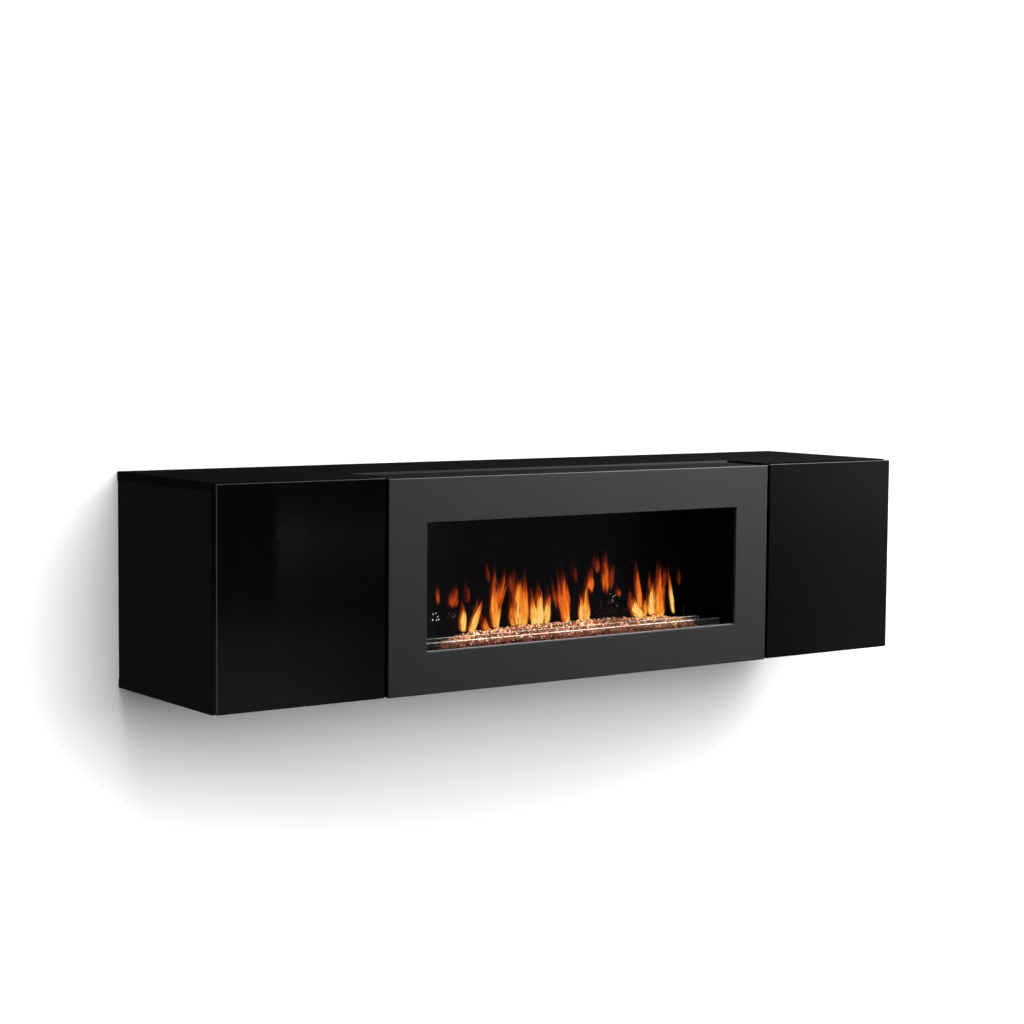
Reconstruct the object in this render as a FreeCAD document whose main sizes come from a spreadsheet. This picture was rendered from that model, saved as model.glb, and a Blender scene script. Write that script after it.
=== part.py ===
"""Wall-hung electric fireplace: two side cabinets, a centre carcass and a slim fire unit.

Frame: +X to the right, the fronts face -Y, +Z up.  The wall is the plane Y = 0 and the
origin is the middle of the centre hanging rail's screw line.  Millimetres.
"""
import FreeCAD, Part
import math
import os
import re
import Sketcher

Vector = FreeCAD.Vector

# Driving dimensions.  Every cell is one plain number with a name.
DIMENSIONS = {
    # whole object
    "half_width": 800, "top_z": 55, "base_z": -345, "board": 16,
    # side cabinets
    "cabinet_inner": 456, "cabinet_front": -362, "side_inset": 1,
    "door_rear": -364, "door_front": -380, "door_inner": 461, "door_outer": 799,
    "door_reveal": 2, "door_edge_radius": 0.8,
    # back panels, let into grooves
    "panel_rear": -16, "panel_thick": 3, "groove_depth": 6, "groove_play": 0.2,
    "panel_in_groove": 5.5, "notch_wide": 18, "notch_low": 17, "outlet_x": 300,
    "outlet_z": -145, "outlet_radius": 30,
    # centre carcass
    "centre_half": 455, "centre_front": -255,
    # cam fittings
    "cam_radius": 7.5, "cam_deep": 12.5, "cam_play": 0.15, "cam_from_end": 34,
    "bolt_radius": 3, "bolt_play": 0.2, "bolt_in_board": 11, "cam_rear_y": -45,
    "cam_front_side_y": -320, "cam_front_centre_y": -215,
    # hanging rails and hangers
    "rail_steel": 2, "rail_low": -16, "rail_step": 6, "rail_reach": -10, "rail_top": 20,
    "rail_end_gap": 2, "rail_hole_radius": 3.25, "rail_hole_side": 110,
    "rail_hole_centre": 320, "hook_wide": 12, "hook_thick": 2.5, "hook_drop": 10,
    "hook_bar_low": 20.4, "hook_bar_high": 25, "hanger_front": -62, "hanger_low": -6,
    # concealed hinges, measured from the inner front corner of the side board
    "hinge_from_end": 82, "cup_radius": 17.5, "cup_deep": 12, "cup_wall": 0.6,
    "cup_offset": 8.5, "cup_flange": 1, "cup_flange_in": -2, "cup_flange_out": 19,
    "cup_flange_half": 28, "cup_pin_x": -4.2, "cup_pin_y": -4, "arm_pin_x": 24,
    "arm_pin_y": 4.2, "knee_one_x": 1.4, "knee_one_y": -5.9, "knee_two_x": 13,
    "knee_two_y": 1.3, "hinge_pin": 1.2, "hinge_bore": 1.27, "link_eye": 2.4,
    "link_half": 5, "link_thick": 1.6, "arm_cheek": 5.4, "arm_half": 7.4,
    "plate_thick": 6, "plate_front": 18, "plate_rear": 58, "plate_half": 24,
    "arm_rear": 56, "arm_knee": 24, "arm_out": 27, "arm_nose": 1,
    # push latches
    "latch_half": 8, "latch_wide": 14, "latch_rear": -304, "latch_front": -361.6,
    "latch_z": -145, "plunger_radius": 3.5, "plunger_play": 0.06, "plunger_tip": -363.6,
    "plunger_rear": -313, "plunger_head": 4.6, "plunger_head_rear": -361.9,
    # front frame of the fire unit
    "frame_half": 453, "unit_low": -344, "unit_high": 51, "frame_front": -381,
    "frame_plate": 2, "frame_fold": 1.5, "frame_rear": -373, "frame_edge_radius": 0.6, "window_half": 371,
    "window_low": -267, "window_high": -30, "window_return_rear": -374.1,
    # glass, gasket and front panel
    "glass_front": -373.9, "glass_rear": -369.9, "glass_half": 384, "glass_low": -279,
    "glass_high": -18, "gasket_rear": -368.4, "gasket_wide": 8, "panel_front_rear": -367.4,
    "mouth_half": 376, "mouth_low": -272, "mouth_high": -25,
    # sheet-steel casing
    "casing_half": 449, "casing_front": -372, "casing_rear": -257, "sheet": 1.2,
    # flame chamber
    "chamber_front": -367, "chamber_rear": -302, "chamber_half_front": 382,
    "chamber_half_rear": 303, "chamber_low": -273, "chamber_high": -16, "floor_high": -270,
    "slot_half": 303, "slot_front": -344, "slot_rear": -308, "strip_front": -352,
    "strip_rear": -346, "strip_step": -262, "strip_high": -255, "strip_half": 355,
    "screen_half": 301.5, "screen_front": -301.5, "screen_rear": -298.5,
    "screen_low": -286, "screen_high": -14,
    # ember tray, crystals and lamps
    "tray_low": -292, "tray_gap": 0.5, "bed_half": 304, "bed_low": -269.8,
    "bed_front": -345.4, "bed_rear": -304.6, "bed_high": -239, "led_height": 2,
    "led_half": 295, "led_low": -290.9, "led_y": -326,
    # flame rotor
    "rotor_y": -280, "rotor_z": -250, "rotor_shaft": 2.5, "rotor_half": 300,
    "rotor_end": 315, "flag_reach": 12.5, "flag_wide": 15, "flag_sheet": 0.4,
    "bearing_play": 0.06, "bracket_half": 8, "bracket_wide": 6, "bracket_x": 288,
    "motor_radius": 19, "motor_near": 306, "motor_far": 324,
    # tangential blower and heater
    "blower_y": -338, "blower_z": -311, "blower_shaft": 2.5, "impeller_radius": 15,
    "impeller_half": 128, "impeller_disc": 1.5, "blade_deep": 3.2, "blade_sheet": 0.5,
    "housing_radius": 18.5, "housing_wall": 1.2, "housing_half": 131, "shaft_left": -140,
    "shaft_right": 168, "blower_motor_near": 136, "blower_motor_far": 176,
    "heater_low": -341, "heater_high": -334.6, "heater_half": 127, "heater_front": -351,
    "heater_rear": -325, "heater_rod": 1.6,
    # grilles and control panel in the underside
    "grille_front": -356, "grille_rear": -320, "grille_half": 142, "grille_thick": 1.5,
    "vent_front": -352, "vent_rear": -324, "vent_half": 136, "intake_x": -330,
    "intake_half": 72, "intake_vent_half": 66, "slot_pitch": 11, "slot_wide": 6,
    "control_x": 375, "control_half": 50, "control_vent_half": 44, "button_radius": 5,
    "button_play": 0.35, "button_flame_x": 373, "button_heat_x": 395, "control_y": -338,
    "button_low": -344.4, "button_high": -336, "button_collar": 6.5,
    "button_collar_low": -340.1, "button_collar_high": -338.9, "rocker_x": 347,
    "rocker_half": 7, "rocker_wide": 5, "rocker_low": -344, "rocker_high": -337,
    "rocker_tilt": 8, "rocker_play": 0.8, "rocker_pivot_z": -339.4, "rocker_pin": 1,
    "rocker_pin_half": 7.4, "switch_high": -328,
    # electrics
    "board_low": -318, "board_thick": 1.6, "supply_near": 180, "supply_far": 280,
    "supply_front": -297, "supply_rear": -262, "supply_high": -304, "inlet_x": 380,
    "inlet_z": -300, "inlet_half_x": 15, "inlet_half_z": 10, "inlet_front": -275,
    "inlet_rear": -254.6, "inlet_flange": 4, "inlet_flange_front": -257,
    # brackets between the casing and the centre carcass
    "tie_steel": 1.5, "tie_long": 30, "tie_half": 20, "tie_from_end": 60,
}

doc = FreeCAD.newDocument("electric_fireplace")
sheet = doc.addObject("Spreadsheet::Sheet", "dims")
for row, (alias, value) in enumerate(DIMENSIONS.items(), start=1):
    sheet.set(f"A{row}", alias)
    sheet.set(f"B{row}", str(value))
    sheet.setAlias(f"B{row}", alias)
doc.recompute()

NODES = []


# ---------------------------------------------------------------- small helpers

def expression(text):
    """Write a formula of dimension names the way the document's expressions need it."""
    return re.sub(r"[a-z][a-z_]+", lambda word: "dims." + word.group(), str(text))


def bind(item, prop, text):
    item.setExpression(prop, expression(text))


def node(item, label):
    """Name a finished sub-part; each one becomes a file of its own."""
    item.Label = label
    NODES.append(item)
    return item


def mirrored(span, side):
    """A span of X on the right-hand side, or its mirror image on the left."""
    low, high = span
    return (low, high) if side > 0 else (f"-({high})", f"-({low})")


def block(x, y, z):
    """A cuboid between three spans."""
    box = doc.addObject("Part::Box", "Block")
    for prop, (low, high) in zip(("Length", "Width", "Height"), (x, y, z)):
        bind(box, prop, f"({high}) - ({low})")
    for axis, (low, high) in zip("xyz", (x, y, z)):
        bind(box, f"Placement.Base.{axis}", low)
    return box


TURNS = {
    "x": FreeCAD.Rotation(Vector(0, 0, 1), Vector(1, 0, 0)),
    "y": FreeCAD.Rotation(Vector(0, 0, 1), Vector(0, 1, 0)),
    "z": FreeCAD.Rotation(),
}


def rod(axis, span, centre, radius):
    """A cylinder along one axis; centre gives its place on the other two, in order."""
    cylinder = doc.addObject("Part::Cylinder", "Rod")
    cylinder.Placement = FreeCAD.Placement(Vector(), TURNS[axis])
    low, high = span
    bind(cylinder, "Height", f"({high}) - ({low})")
    bind(cylinder, "Radius", radius)
    bind(cylinder, f"Placement.Base.{axis}", low)
    for other, place in zip([name for name in "xyz" if name != axis], centre):
        bind(cylinder, f"Placement.Base.{other}", place)
    return cylinder


def joined(items):
    fuse = doc.addObject("Part::MultiFuse", "Joined")
    fuse.Shapes = items
    return fuse


def together(items):
    """Separate solids kept side by side in one node."""
    compound = doc.addObject("Part::Compound", "Group")
    compound.Links = items
    return compound


def without(base, tools):
    """The base with every tool cut away."""
    cut = doc.addObject("Part::Cut", "Cut")
    cut.Base = base
    cut.Tool = tools[0] if len(tools) == 1 else together(tools)
    return cut


def common(first, second):
    both = doc.addObject("Part::Common", "Common")
    both.Base = first
    both.Tool = second
    return both


PLANES = {"x": "YZ_Plane", "y": "XZ_Plane", "z": "XY_Plane"}


def plane_sketch(body, axis, start):
    """A sketch on the body's origin plane across an axis, moved along it to start."""
    sketch = body.newObject("Sketcher::SketchObject", "Outline")
    plane = [item for item in body.Origin.OriginFeatures if item.Role == PLANES[axis]][0]
    sketch.AttachmentSupport = [(plane, "")]
    sketch.MapMode = "FlatFace"
    bind(sketch, "AttachmentOffset.Base.z", f"-({start})" if axis == "y" else start)
    return sketch


def outline(sketch, points):
    """A closed polygon whose corners are bound to the sheet."""
    first = sketch.GeometryCount
    count = len(points)
    ring = [Vector(100 * math.cos(2 * math.pi * i / count),
                   100 * math.sin(2 * math.pi * i / count), 0) for i in range(count)]
    for i in range(count):
        sketch.addGeometry(Part.LineSegment(ring[i], ring[(i + 1) % count]), False)
    for i in range(count):
        corner = first + i
        after = first + (i + 1) % count
        sketch.addConstraint(Sketcher.Constraint("Coincident", corner, 2, after, 1))
    for i, point in enumerate(points):
        for kind, value in zip(("DistanceX", "DistanceY"), point):
            rule = Sketcher.Constraint(kind, -1, 1, first + i, 1, 1.0)
            index = sketch.addConstraint(rule)
            bind(sketch, f"Constraints[{index}]", value)


def circle(sketch, centre, radius):
    """A full circle bound to the sheet."""
    index = sketch.addGeometry(Part.Circle(Vector(10, 10, 0), Vector(0, 0, 1), 5), False)
    for kind, value in zip(("DistanceX", "DistanceY"), centre):
        rule = sketch.addConstraint(Sketcher.Constraint(kind, -1, 1, index, 3, 10.0))
        bind(sketch, f"Constraints[{rule}]", value)
    rule = sketch.addConstraint(Sketcher.Constraint("Radius", index, 5.0))
    bind(sketch, f"Constraints[{rule}]", radius)


def padded(body, axis, span, draw):
    """A pad along an axis between the two ends of a span; draw fills its sketch."""
    low, high = span
    sketch = plane_sketch(body, axis, high if axis == "y" else low)
    draw(sketch)
    pad = body.newObject("PartDesign::Pad", "Pad")
    pad.Profile = sketch
    bind(pad, "Length", f"({high}) - ({low})")
    doc.recompute()
    return pad


def pocketed(body, axis, span, draw):
    """A pocket along an axis between the two ends of a span."""
    low, high = span
    before = body.Shape.Volume
    sketch = plane_sketch(body, axis, high if axis == "y" else low)
    draw(sketch)
    pocket = body.newObject("PartDesign::Pocket", "Pocket")
    pocket.Profile = sketch
    pocket.Reversed = True
    bind(pocket, "Length", f"({high}) - ({low})")
    doc.recompute()
    if body.Shape.Volume >= before:
        raise RuntimeError(f"{body.Label}: a pocket cuts nothing")
    return pocket


def body_of(axis, span, draw):
    body = doc.addObject("PartDesign::Body", "Body")
    padded(body, axis, span, draw)
    return body


def eased(body, front, radius):
    """Round over every edge that lies in the plane Y = front."""
    solid = body.Tip
    edges = [f"Edge{index}" for index, edge in enumerate(solid.Shape.Edges, start=1)
             if edge.BoundBox.YMax < DIMENSIONS[front] + 0.01]
    fillet = body.newObject("PartDesign::Fillet", "Eased")
    fillet.Base = (solid, edges)
    bind(fillet, "Radius", radius)
    body.Tip = fillet
    doc.recompute()


def rectangle(first, second):
    """The four corners between a span and a span."""
    (x0, x1), (y0, y1) = first, second
    return [(x0, y0), (x1, y0), (x1, y1), (x0, y1)]


# ---------------------------------------------------------------- cabinets

INSIDE_LOW = "base_z + board"
INSIDE_HIGH = "top_z - board"
PANEL_FRONT = "panel_rear - panel_thick"


def groove(x, z):
    """The groove that holds a back panel's edge."""
    return block(x, (f"{PANEL_FRONT} - groove_play", "panel_rear + groove_play"), z)


def level_boards(name, x, inner_x, front, cam_rows):
    """Top and bottom board of one carcass, grooved and drilled for the cam bolts."""
    ends = ((f"{name}_bottom_board", "base_z", INSIDE_LOW, -1),
            (f"{name}_top_board", INSIDE_HIGH, "top_z", 1))
    for label, low, high, up in ends:
        face = high if up < 0 else low
        cut_z = (f"{face} - groove_depth", face) if up < 0 else (face, f"{face} + groove_depth")
        hole_z = (f"{face} - bolt_in_board", face) if up < 0 else (face, f"{face} + bolt_in_board")
        tools = [groove((f"{inner_x[0]} - groove_depth", f"{inner_x[1]} + groove_depth"), cut_z)]
        for place in (f"{inner_x[0]} - board/2", f"{inner_x[1]} + board/2"):
            for row in cam_rows:
                tools.append(rod("z", hole_z, (place, row), "bolt_radius + bolt_play"))
        node(without(block(x, (front, "0"), (low, high)), tools), label)


CAMS = []


def side_board(x, facing, front, cam_rows):
    """An upright board; facing is +1 where its inner face looks towards +X."""
    inner = x[1] if facing > 0 else x[0]
    deep = "cam_deep + cam_play"
    cut_x = (f"{inner} - groove_depth", inner) if facing > 0 else (inner, f"{inner} + groove_depth")
    tools = [groove(cut_x, (INSIDE_LOW, INSIDE_HIGH))]
    middle = f"({x[0]} + {x[1]}) / 2"
    for row in cam_rows:
        for end, inward in ((INSIDE_LOW, 1), (INSIDE_HIGH, -1)):
            centre_z = f"{end} + {inward} * cam_from_end"
            hole = (f"{inner} - ({deep})", inner) if facing > 0 else (inner, f"{inner} + {deep}")
            cam = (f"{inner} - cam_deep", inner) if facing > 0 else (inner, f"{inner} + cam_deep")
            tools.append(rod("x", hole, (row, centre_z), "cam_radius + cam_play"))
            shank = (end, centre_z) if inward > 0 else (centre_z, end)
            tools.append(rod("z", shank, (middle, row), "bolt_radius + bolt_play"))
            CAMS.append(cam_and_bolt(cam, row, centre_z, middle, end, inward))
    return without(block(x, (front, "0"), (INSIDE_LOW, INSIDE_HIGH)), tools)


def cam_and_bolt(cam, row, centre_z, middle, end, inward):
    """A cam disc with its cross slot, and the bolt that it pulls."""
    disc = rod("x", cam, (row, centre_z), "cam_radius")
    slot = block(cam, (f"{row} - 0.8", f"{row} + 0.8"), (f"{centre_z} - 4", f"{centre_z} + 4"))
    middle_slot = f"({cam[0]} + {cam[1]}) / 2"
    bolt_way = rod("z", (f"{centre_z} - 9", f"{centre_z} + 9"), (middle, row),
                   "bolt_radius + bolt_play")
    shallow = common(slot, block((f"{middle_slot} - 20", f"{middle_slot} + 20"),
                                 (f"{row} - 2", f"{row} + 2"),
                                 (f"{centre_z} - 4", f"{centre_z} + 4")))
    disc = without(disc, [bolt_way, shallow])
    near, far = f"{centre_z} - {inward} * 5", f"{end} - {inward} * (bolt_in_board - 0.5)"
    span = (far, near) if inward > 0 else (near, far)
    bolt = rod("z", span, (middle, row), "bolt_radius")
    return [disc, bolt]


def back_panel(label, x, outlet):
    """A hardboard back let into the grooves, notched at its top corners for the hangers."""
    panel = block((f"{x[0]} - panel_in_groove", f"{x[1]} + panel_in_groove"),
                  (PANEL_FRONT, "panel_rear"),
                  (f"{INSIDE_LOW} - panel_in_groove", f"{INSIDE_HIGH} + panel_in_groove"))
    high = f"{INSIDE_HIGH} + groove_depth"
    cut_y = (f"{PANEL_FRONT} - 1", "panel_rear + 1")
    tools = [block((f"{x[0]} - groove_depth", f"{x[0]} + notch_wide"), cut_y, ("notch_low", high)),
             block((f"{x[1]} - notch_wide", f"{x[1]} + groove_depth"), cut_y, ("notch_low", high))]
    if outlet:
        tools.append(rod("y", cut_y, ("outlet_x", "outlet_z"), "outlet_radius"))
    node(without(panel, tools), label)


def carcasses():
    side_rows = ("cam_rear_y", "cam_front_side_y")
    outer = ("half_width - side_inset - board", "half_width - side_inset")
    inner = ("cabinet_inner", "cabinet_inner + board")
    for name, side in (("left", -1), ("right", 1)):
        inside = mirrored((inner[1], outer[0]), side)
        level_boards(name, mirrored(("cabinet_inner", "half_width"), side), inside,
                     "cabinet_front", side_rows)
        node(side_board(mirrored(outer, side), -side, "cabinet_front", side_rows),
             f"{name}_outer_side")
        node(side_board(mirrored(inner, side), side, "cabinet_front", side_rows),
             f"{name}_inner_side")
        back_panel(f"{name}_back_panel", inside, outlet=False)

    centre_rows = ("cam_rear_y", "cam_front_centre_y")
    centre = ("centre_half - board", "centre_half")
    inside = ("board - centre_half", "centre_half - board")
    level_boards("centre", ("-centre_half", "centre_half"), inside, "centre_front", centre_rows)
    node(together([side_board(mirrored(centre, side), -side, "centre_front", centre_rows)
                   for side in (-1, 1)]), "centre_side_boards")
    back_panel("centre_back_panel", inside, outlet=True)
    node(together([piece for pair in CAMS for piece in pair]), "cam_fittings")


# ---------------------------------------------------------------- hanging hardware

def wall_rail(x, centre, hole_offset):
    """A Z-shaped steel rail, screwed to the wall through two holes."""
    front = "-rail_steel"
    points = [("0", "rail_low"), ("0", "rail_step + rail_steel"),
              ("rail_reach + rail_steel", "rail_step + rail_steel"),
              ("rail_reach + rail_steel", "rail_top"), ("rail_reach", "rail_top"),
              ("rail_reach", "rail_step"), (front, "rail_step"), (front, "rail_low")]
    rail = body_of("x", (f"{x[0]} + rail_end_gap", f"{x[1]} - rail_end_gap"),
                   lambda sketch: outline(sketch, points))

    def holes(sketch):
        for place in (f"{centre} - {hole_offset}", f"{centre} + {hole_offset}"):
            circle(sketch, (place, "0"), "rail_hole_radius")

    pocketed(rail, "y", ("-rail_steel - 1", "1"), holes)
    return rail


def hanger(face, inward):
    """A hanger in a carcass corner, with its hook over the rail's lip."""
    def across(near, far):
        low, high = f"{face} + {inward} * ({near})", f"{face} + {inward} * ({far})"
        return (low, high) if inward > 0 else (high, low)

    housing = block(across("0", "hook_wide + 4"), ("hanger_front", f"{PANEL_FRONT} - 0.5"),
                    ("hanger_low", f"{INSIDE_HIGH} - 2"))
    bar = block(across("rail_end_gap", "hook_wide"), (f"{PANEL_FRONT} - 1", "rail_reach / 2"),
                ("hook_bar_low", "hook_bar_high"))
    hook = block(across("rail_end_gap", "hook_wide"), ("rail_reach / 2 - hook_thick",
                                                       "rail_reach / 2"),
                 ("hook_drop", "hook_bar_high"))
    screw_z = f"({INSIDE_HIGH} + hanger_low) / 2"
    screws = [rod("y", ("hanger_front - 1", "hanger_front + 6"),
                  (f"{face} + {inward} * 8", f"{screw_z} + {offset}"), "2.6")
              for offset in (-9, 9)]
    return without(joined([housing, bar, hook]), screws)


def hanging_hardware():
    inner = ("cabinet_inner + board", "half_width - side_inset - board")
    centre = ("board - centre_half", "centre_half - board")
    rails = []
    hangers = []
    for side in (-1, 1):
        x = mirrored(inner, side)
        rails.append(wall_rail(x, f"({x[0]} + {x[1]}) / 2", "rail_hole_side"))
    rails.append(wall_rail(centre, "0", "rail_hole_centre"))
    for x in (mirrored(inner, -1), centre, mirrored(inner, 1)):
        hangers += [hanger(x[0], 1), hanger(x[1], -1)]
    node(together(rails), "wall_rails")
    node(together(hangers), "cabinet_hangers")


# ---------------------------------------------------------------- doors and hinges

CORNER = "half_width - side_inset - board"
HINGE_HEIGHTS = ("base_z + hinge_from_end", "top_z - hinge_from_end")


def hinge_x(offset, side):
    """X of a point measured inwards from the side board's inner face."""
    return f"{side} * ({CORNER} - ({offset}))"


def hinge_span(near, far, side):
    """A span of X measured inwards from the side board's inner face."""
    ends = (hinge_x(near, side), hinge_x(far, side))
    return ends if side < 0 else (ends[1], ends[0])


def hinge_y(offset):
    """Y of a point measured backwards from the carcass's front edge."""
    return f"cabinet_front + ({offset})"


def door(name, side):
    """A lacquered door with eased front edges and two bores for the hinge cups."""
    x = mirrored(("door_inner", "door_outer"), side)
    z = ("base_z + door_reveal", "top_z - door_reveal")
    body = body_of("y", ("door_front", "door_rear"),
                   lambda sketch: outline(sketch, rectangle(x, z)))

    def bores(sketch):
        for height in HINGE_HEIGHTS:
            circle(sketch, (hinge_x("cup_offset", side), height), "cup_radius + 0.1")

    pocketed(body, "y", ("door_rear - cup_deep - 0.2", "door_rear"), bores)
    eased(body, "door_front", "door_edge_radius")
    node(body, f"{name}_door")


def hinge_cup(side, height):
    """A pressed cup with its flange and the pin that crosses it."""
    centre = (hinge_x("cup_offset", side), height)
    floor = "door_rear - cup_deep"
    shell = rod("y", (floor, "door_rear"), centre, "cup_radius")
    flange = block(hinge_span("cup_flange_in", "cup_flange_out", side),
                   ("door_rear", "door_rear + cup_flange"),
                   (f"{height} - cup_flange_half", f"{height} + cup_flange_half"))
    hollow = rod("y", (f"{floor} + cup_wall", "door_rear + cup_flange + 1"), centre,
                 "cup_radius - cup_wall")
    pin = rod("z", (f"{height} - 10.6", f"{height} + 10.6"),
              (hinge_x("cup_pin_x", side), hinge_y("cup_pin_y")), "hinge_pin")
    heads = [rod("y", ("door_rear + 0.2", "door_rear + cup_flange + 1"),
                 (hinge_x("9.5", side), f"{height} + {offset}"), "2.2") for offset in (-23.5, 23.5)]
    return joined([without(joined([shell, flange]), [hollow] + heads), pin])


def hinge_link(side, height):
    """The cranked link from the arm's pin round the board's corner into the cup."""
    z = (f"{height} - link_half", f"{height} + link_half")
    stops = [("cup_pin_x", "cup_pin_y"), ("knee_one_x", "knee_one_y"),
             ("knee_two_x", "knee_two_y"), ("arm_pin_x", "arm_pin_y")]
    pieces = []
    for x, y in stops:
        at_pin = "pin" in x
        pieces.append(rod("z", z, (hinge_x(x, side), hinge_y(y)),
                          "link_eye" if at_pin else "link_thick"))
    for (x0, y0), (x1, y1) in zip(stops, stops[1:]):
        run_x = DIMENSIONS[x1] - DIMENSIONS[x0]
        run_y = DIMENSIONS[y1] - DIMENSIONS[y0]
        length = math.hypot(run_x, run_y)
        web = doc.addObject("Part::Box", "Web")
        angle = math.degrees(math.atan2(run_y, -side * run_x))
        turn = FreeCAD.Rotation(Vector(0, 0, 1), angle)
        shift = turn.multVec(Vector(0, -DIMENSIONS["link_thick"], 0))
        web.Placement = FreeCAD.Placement(Vector(), turn)
        web.Length = length
        bind(web, "Width", "2 * link_thick")
        bind(web, "Height", "2 * link_half")
        bind(web, "Placement.Base.x", f"{hinge_x(x0, side)} + {shift.x}")
        bind(web, "Placement.Base.y", f"{hinge_y(y0)} + {shift.y}")
        bind(web, "Placement.Base.z", z[0])
        pieces.append(web)
    bores = [rod("z", (f"{z[0]} - 1", f"{z[1]} + 1"), (hinge_x(x, side), hinge_y(y)), "hinge_bore")
             for x, y in (stops[0], stops[-1])]
    return without(joined(pieces), bores)


def hinge_arm(side, height):
    """The fixed arm: two cheeks, a web over the mounting plate and the arm's pin."""
    corners = [("plate_thick", "arm_rear"), ("plate_thick", "arm_knee"), ("20", "arm_nose"),
               ("arm_out", "arm_nose"), ("arm_out", "9"), ("12.5", "arm_knee + 6"),
               ("12.5", "arm_rear")]
    points = [(hinge_x(x, side), hinge_y(y)) for x, y in corners]
    cheeks = [body_of("z", (f"{height} + {low}", f"{height} + {high}"),
                      lambda sketch: outline(sketch, points))
              for low, high in (("arm_cheek", "arm_half"), ("-arm_half", "-arm_cheek"))]
    web = block(hinge_span("plate_thick", "plate_thick + 2", side),
                (hinge_y("arm_knee"), hinge_y("arm_rear")),
                (f"{height} - arm_half", f"{height} + arm_half"))
    pin = rod("z", (f"{height} - arm_half", f"{height} + arm_half"),
              (hinge_x("arm_pin_x", side), hinge_y("arm_pin_y")), "hinge_pin")
    return joined(cheeks + [web, pin])


def hinge_plate(side, height):
    """The cross-shaped mounting plate with its two countersunk screw holes."""
    x = hinge_span("0", "plate_thick", side)
    middle = "(plate_front + plate_rear) / 2"
    bar = block(x, (hinge_y("plate_front"), hinge_y("plate_rear")),
                (f"{height} - 8", f"{height} + 8"))
    wings = block(x, (hinge_y(f"{middle} - 7"), hinge_y(f"{middle} + 7")),
                  (f"{height} - plate_half", f"{height} + plate_half"))
    holes = [rod("x", (f"{x[0]} - 1", f"{x[1]} + 1"), (hinge_y(middle), f"{height} + {offset}"),
                 "2.4") for offset in (-16, 16)]
    return without(joined([bar, wings]), holes)


def push_latch(side):
    """The latch housing on the inner side board."""
    x = mirrored(("cabinet_inner + board", "cabinet_inner + board + latch_wide"), side)
    centre = (f"{side} * (cabinet_inner + board + latch_wide / 2)", "latch_z")
    housing = block(x, ("latch_front", "latch_rear"), ("latch_z - latch_half",
                                                       "latch_z + latch_half"))
    bore = rod("y", ("latch_front - 1", "plunger_rear + 4"), centre,
               "plunger_radius + plunger_play")
    return without(housing, [bore])


def latch_plunger(name, side):
    """The sprung plunger that holds the door shut and kicks it open."""
    centre = (f"{side} * (cabinet_inner + board + latch_wide / 2)", "latch_z")
    stem = rod("y", ("plunger_tip", "plunger_rear"), centre, "plunger_radius")
    head = rod("y", ("plunger_tip", "plunger_head_rear"), centre, "plunger_head")
    node(joined([stem, head]), f"{name}_latch_plunger")


def doors_and_hinges():
    plates = []
    arms = []
    latches = []
    for name, side in (("left", -1), ("right", 1)):
        door(name, side)
        node(together([hinge_cup(side, height) for height in HINGE_HEIGHTS]),
             f"{name}_hinge_cups")
        node(together([hinge_link(side, height) for height in HINGE_HEIGHTS]),
             f"{name}_hinge_links")
        latch_plunger(name, side)
        plates += [hinge_plate(side, height) for height in HINGE_HEIGHTS]
        arms += [hinge_arm(side, height) for height in HINGE_HEIGHTS]
        latches.append(push_latch(side))
    node(together(plates), "hinge_plates")
    node(together(arms), "hinge_arms")
    node(together(latches), "push_latches")


# ---------------------------------------------------------------- front of the fire unit

def front_frame():
    """A folded steel frame: face plate, outer folds and a short fold round the window."""
    outer = rectangle(("-frame_half", "frame_half"), ("unit_low", "unit_high"))
    window = rectangle(("-window_half", "window_half"), ("window_low", "window_high"))
    frame = body_of("y", ("frame_front", "frame_rear"),
                    lambda sketch: [outline(sketch, outer), outline(sketch, window)])
    hollow_outer = rectangle(("frame_fold - frame_half", "frame_half - frame_fold"),
                             ("unit_low + frame_fold", "unit_high - frame_fold"))
    collar = rectangle(("-window_half - frame_fold", "window_half + frame_fold"),
                       ("window_low - frame_fold", "window_high + frame_fold"))
    pocketed(frame, "y", ("frame_front + frame_plate", "frame_rear"),
             lambda sketch: [outline(sketch, hollow_outer), outline(sketch, collar)])
    trim = rectangle(("-window_half - 5", "window_half + 5"), ("window_low - 5", "window_high + 5"))
    pocketed(frame, "y", ("window_return_rear", "frame_rear"),
             lambda sketch: outline(sketch, trim))
    eased(frame, "frame_front", "frame_edge_radius")
    node(frame, "front_frame")


def glazing():
    glass_x = ("-glass_half", "glass_half")
    glass_z = ("glass_low", "glass_high")
    node(block(glass_x, ("glass_front", "glass_rear"), glass_z), "front_glass")
    hole = block(("gasket_wide - glass_half", "glass_half - gasket_wide"),
                 ("glass_rear - 1", "gasket_rear + 1"),
                 ("glass_low + gasket_wide", "glass_high - gasket_wide"))
    gasket = block(glass_x, ("glass_rear", "gasket_rear"), glass_z)
    node(without(gasket, [hole]), "glass_gasket")
    mouth = block(("-mouth_half", "mouth_half"), ("gasket_rear - 1", "panel_front_rear + 1"),
                  ("mouth_low", "mouth_high"))
    panel = block(("0.4 - casing_half", "casing_half - 0.4"), ("gasket_rear", "panel_front_rear"),
                  ("unit_low + sheet + 0.2", "unit_high - sheet - 0.2"))
    node(without(panel, [mouth]), "front_panel")


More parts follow.
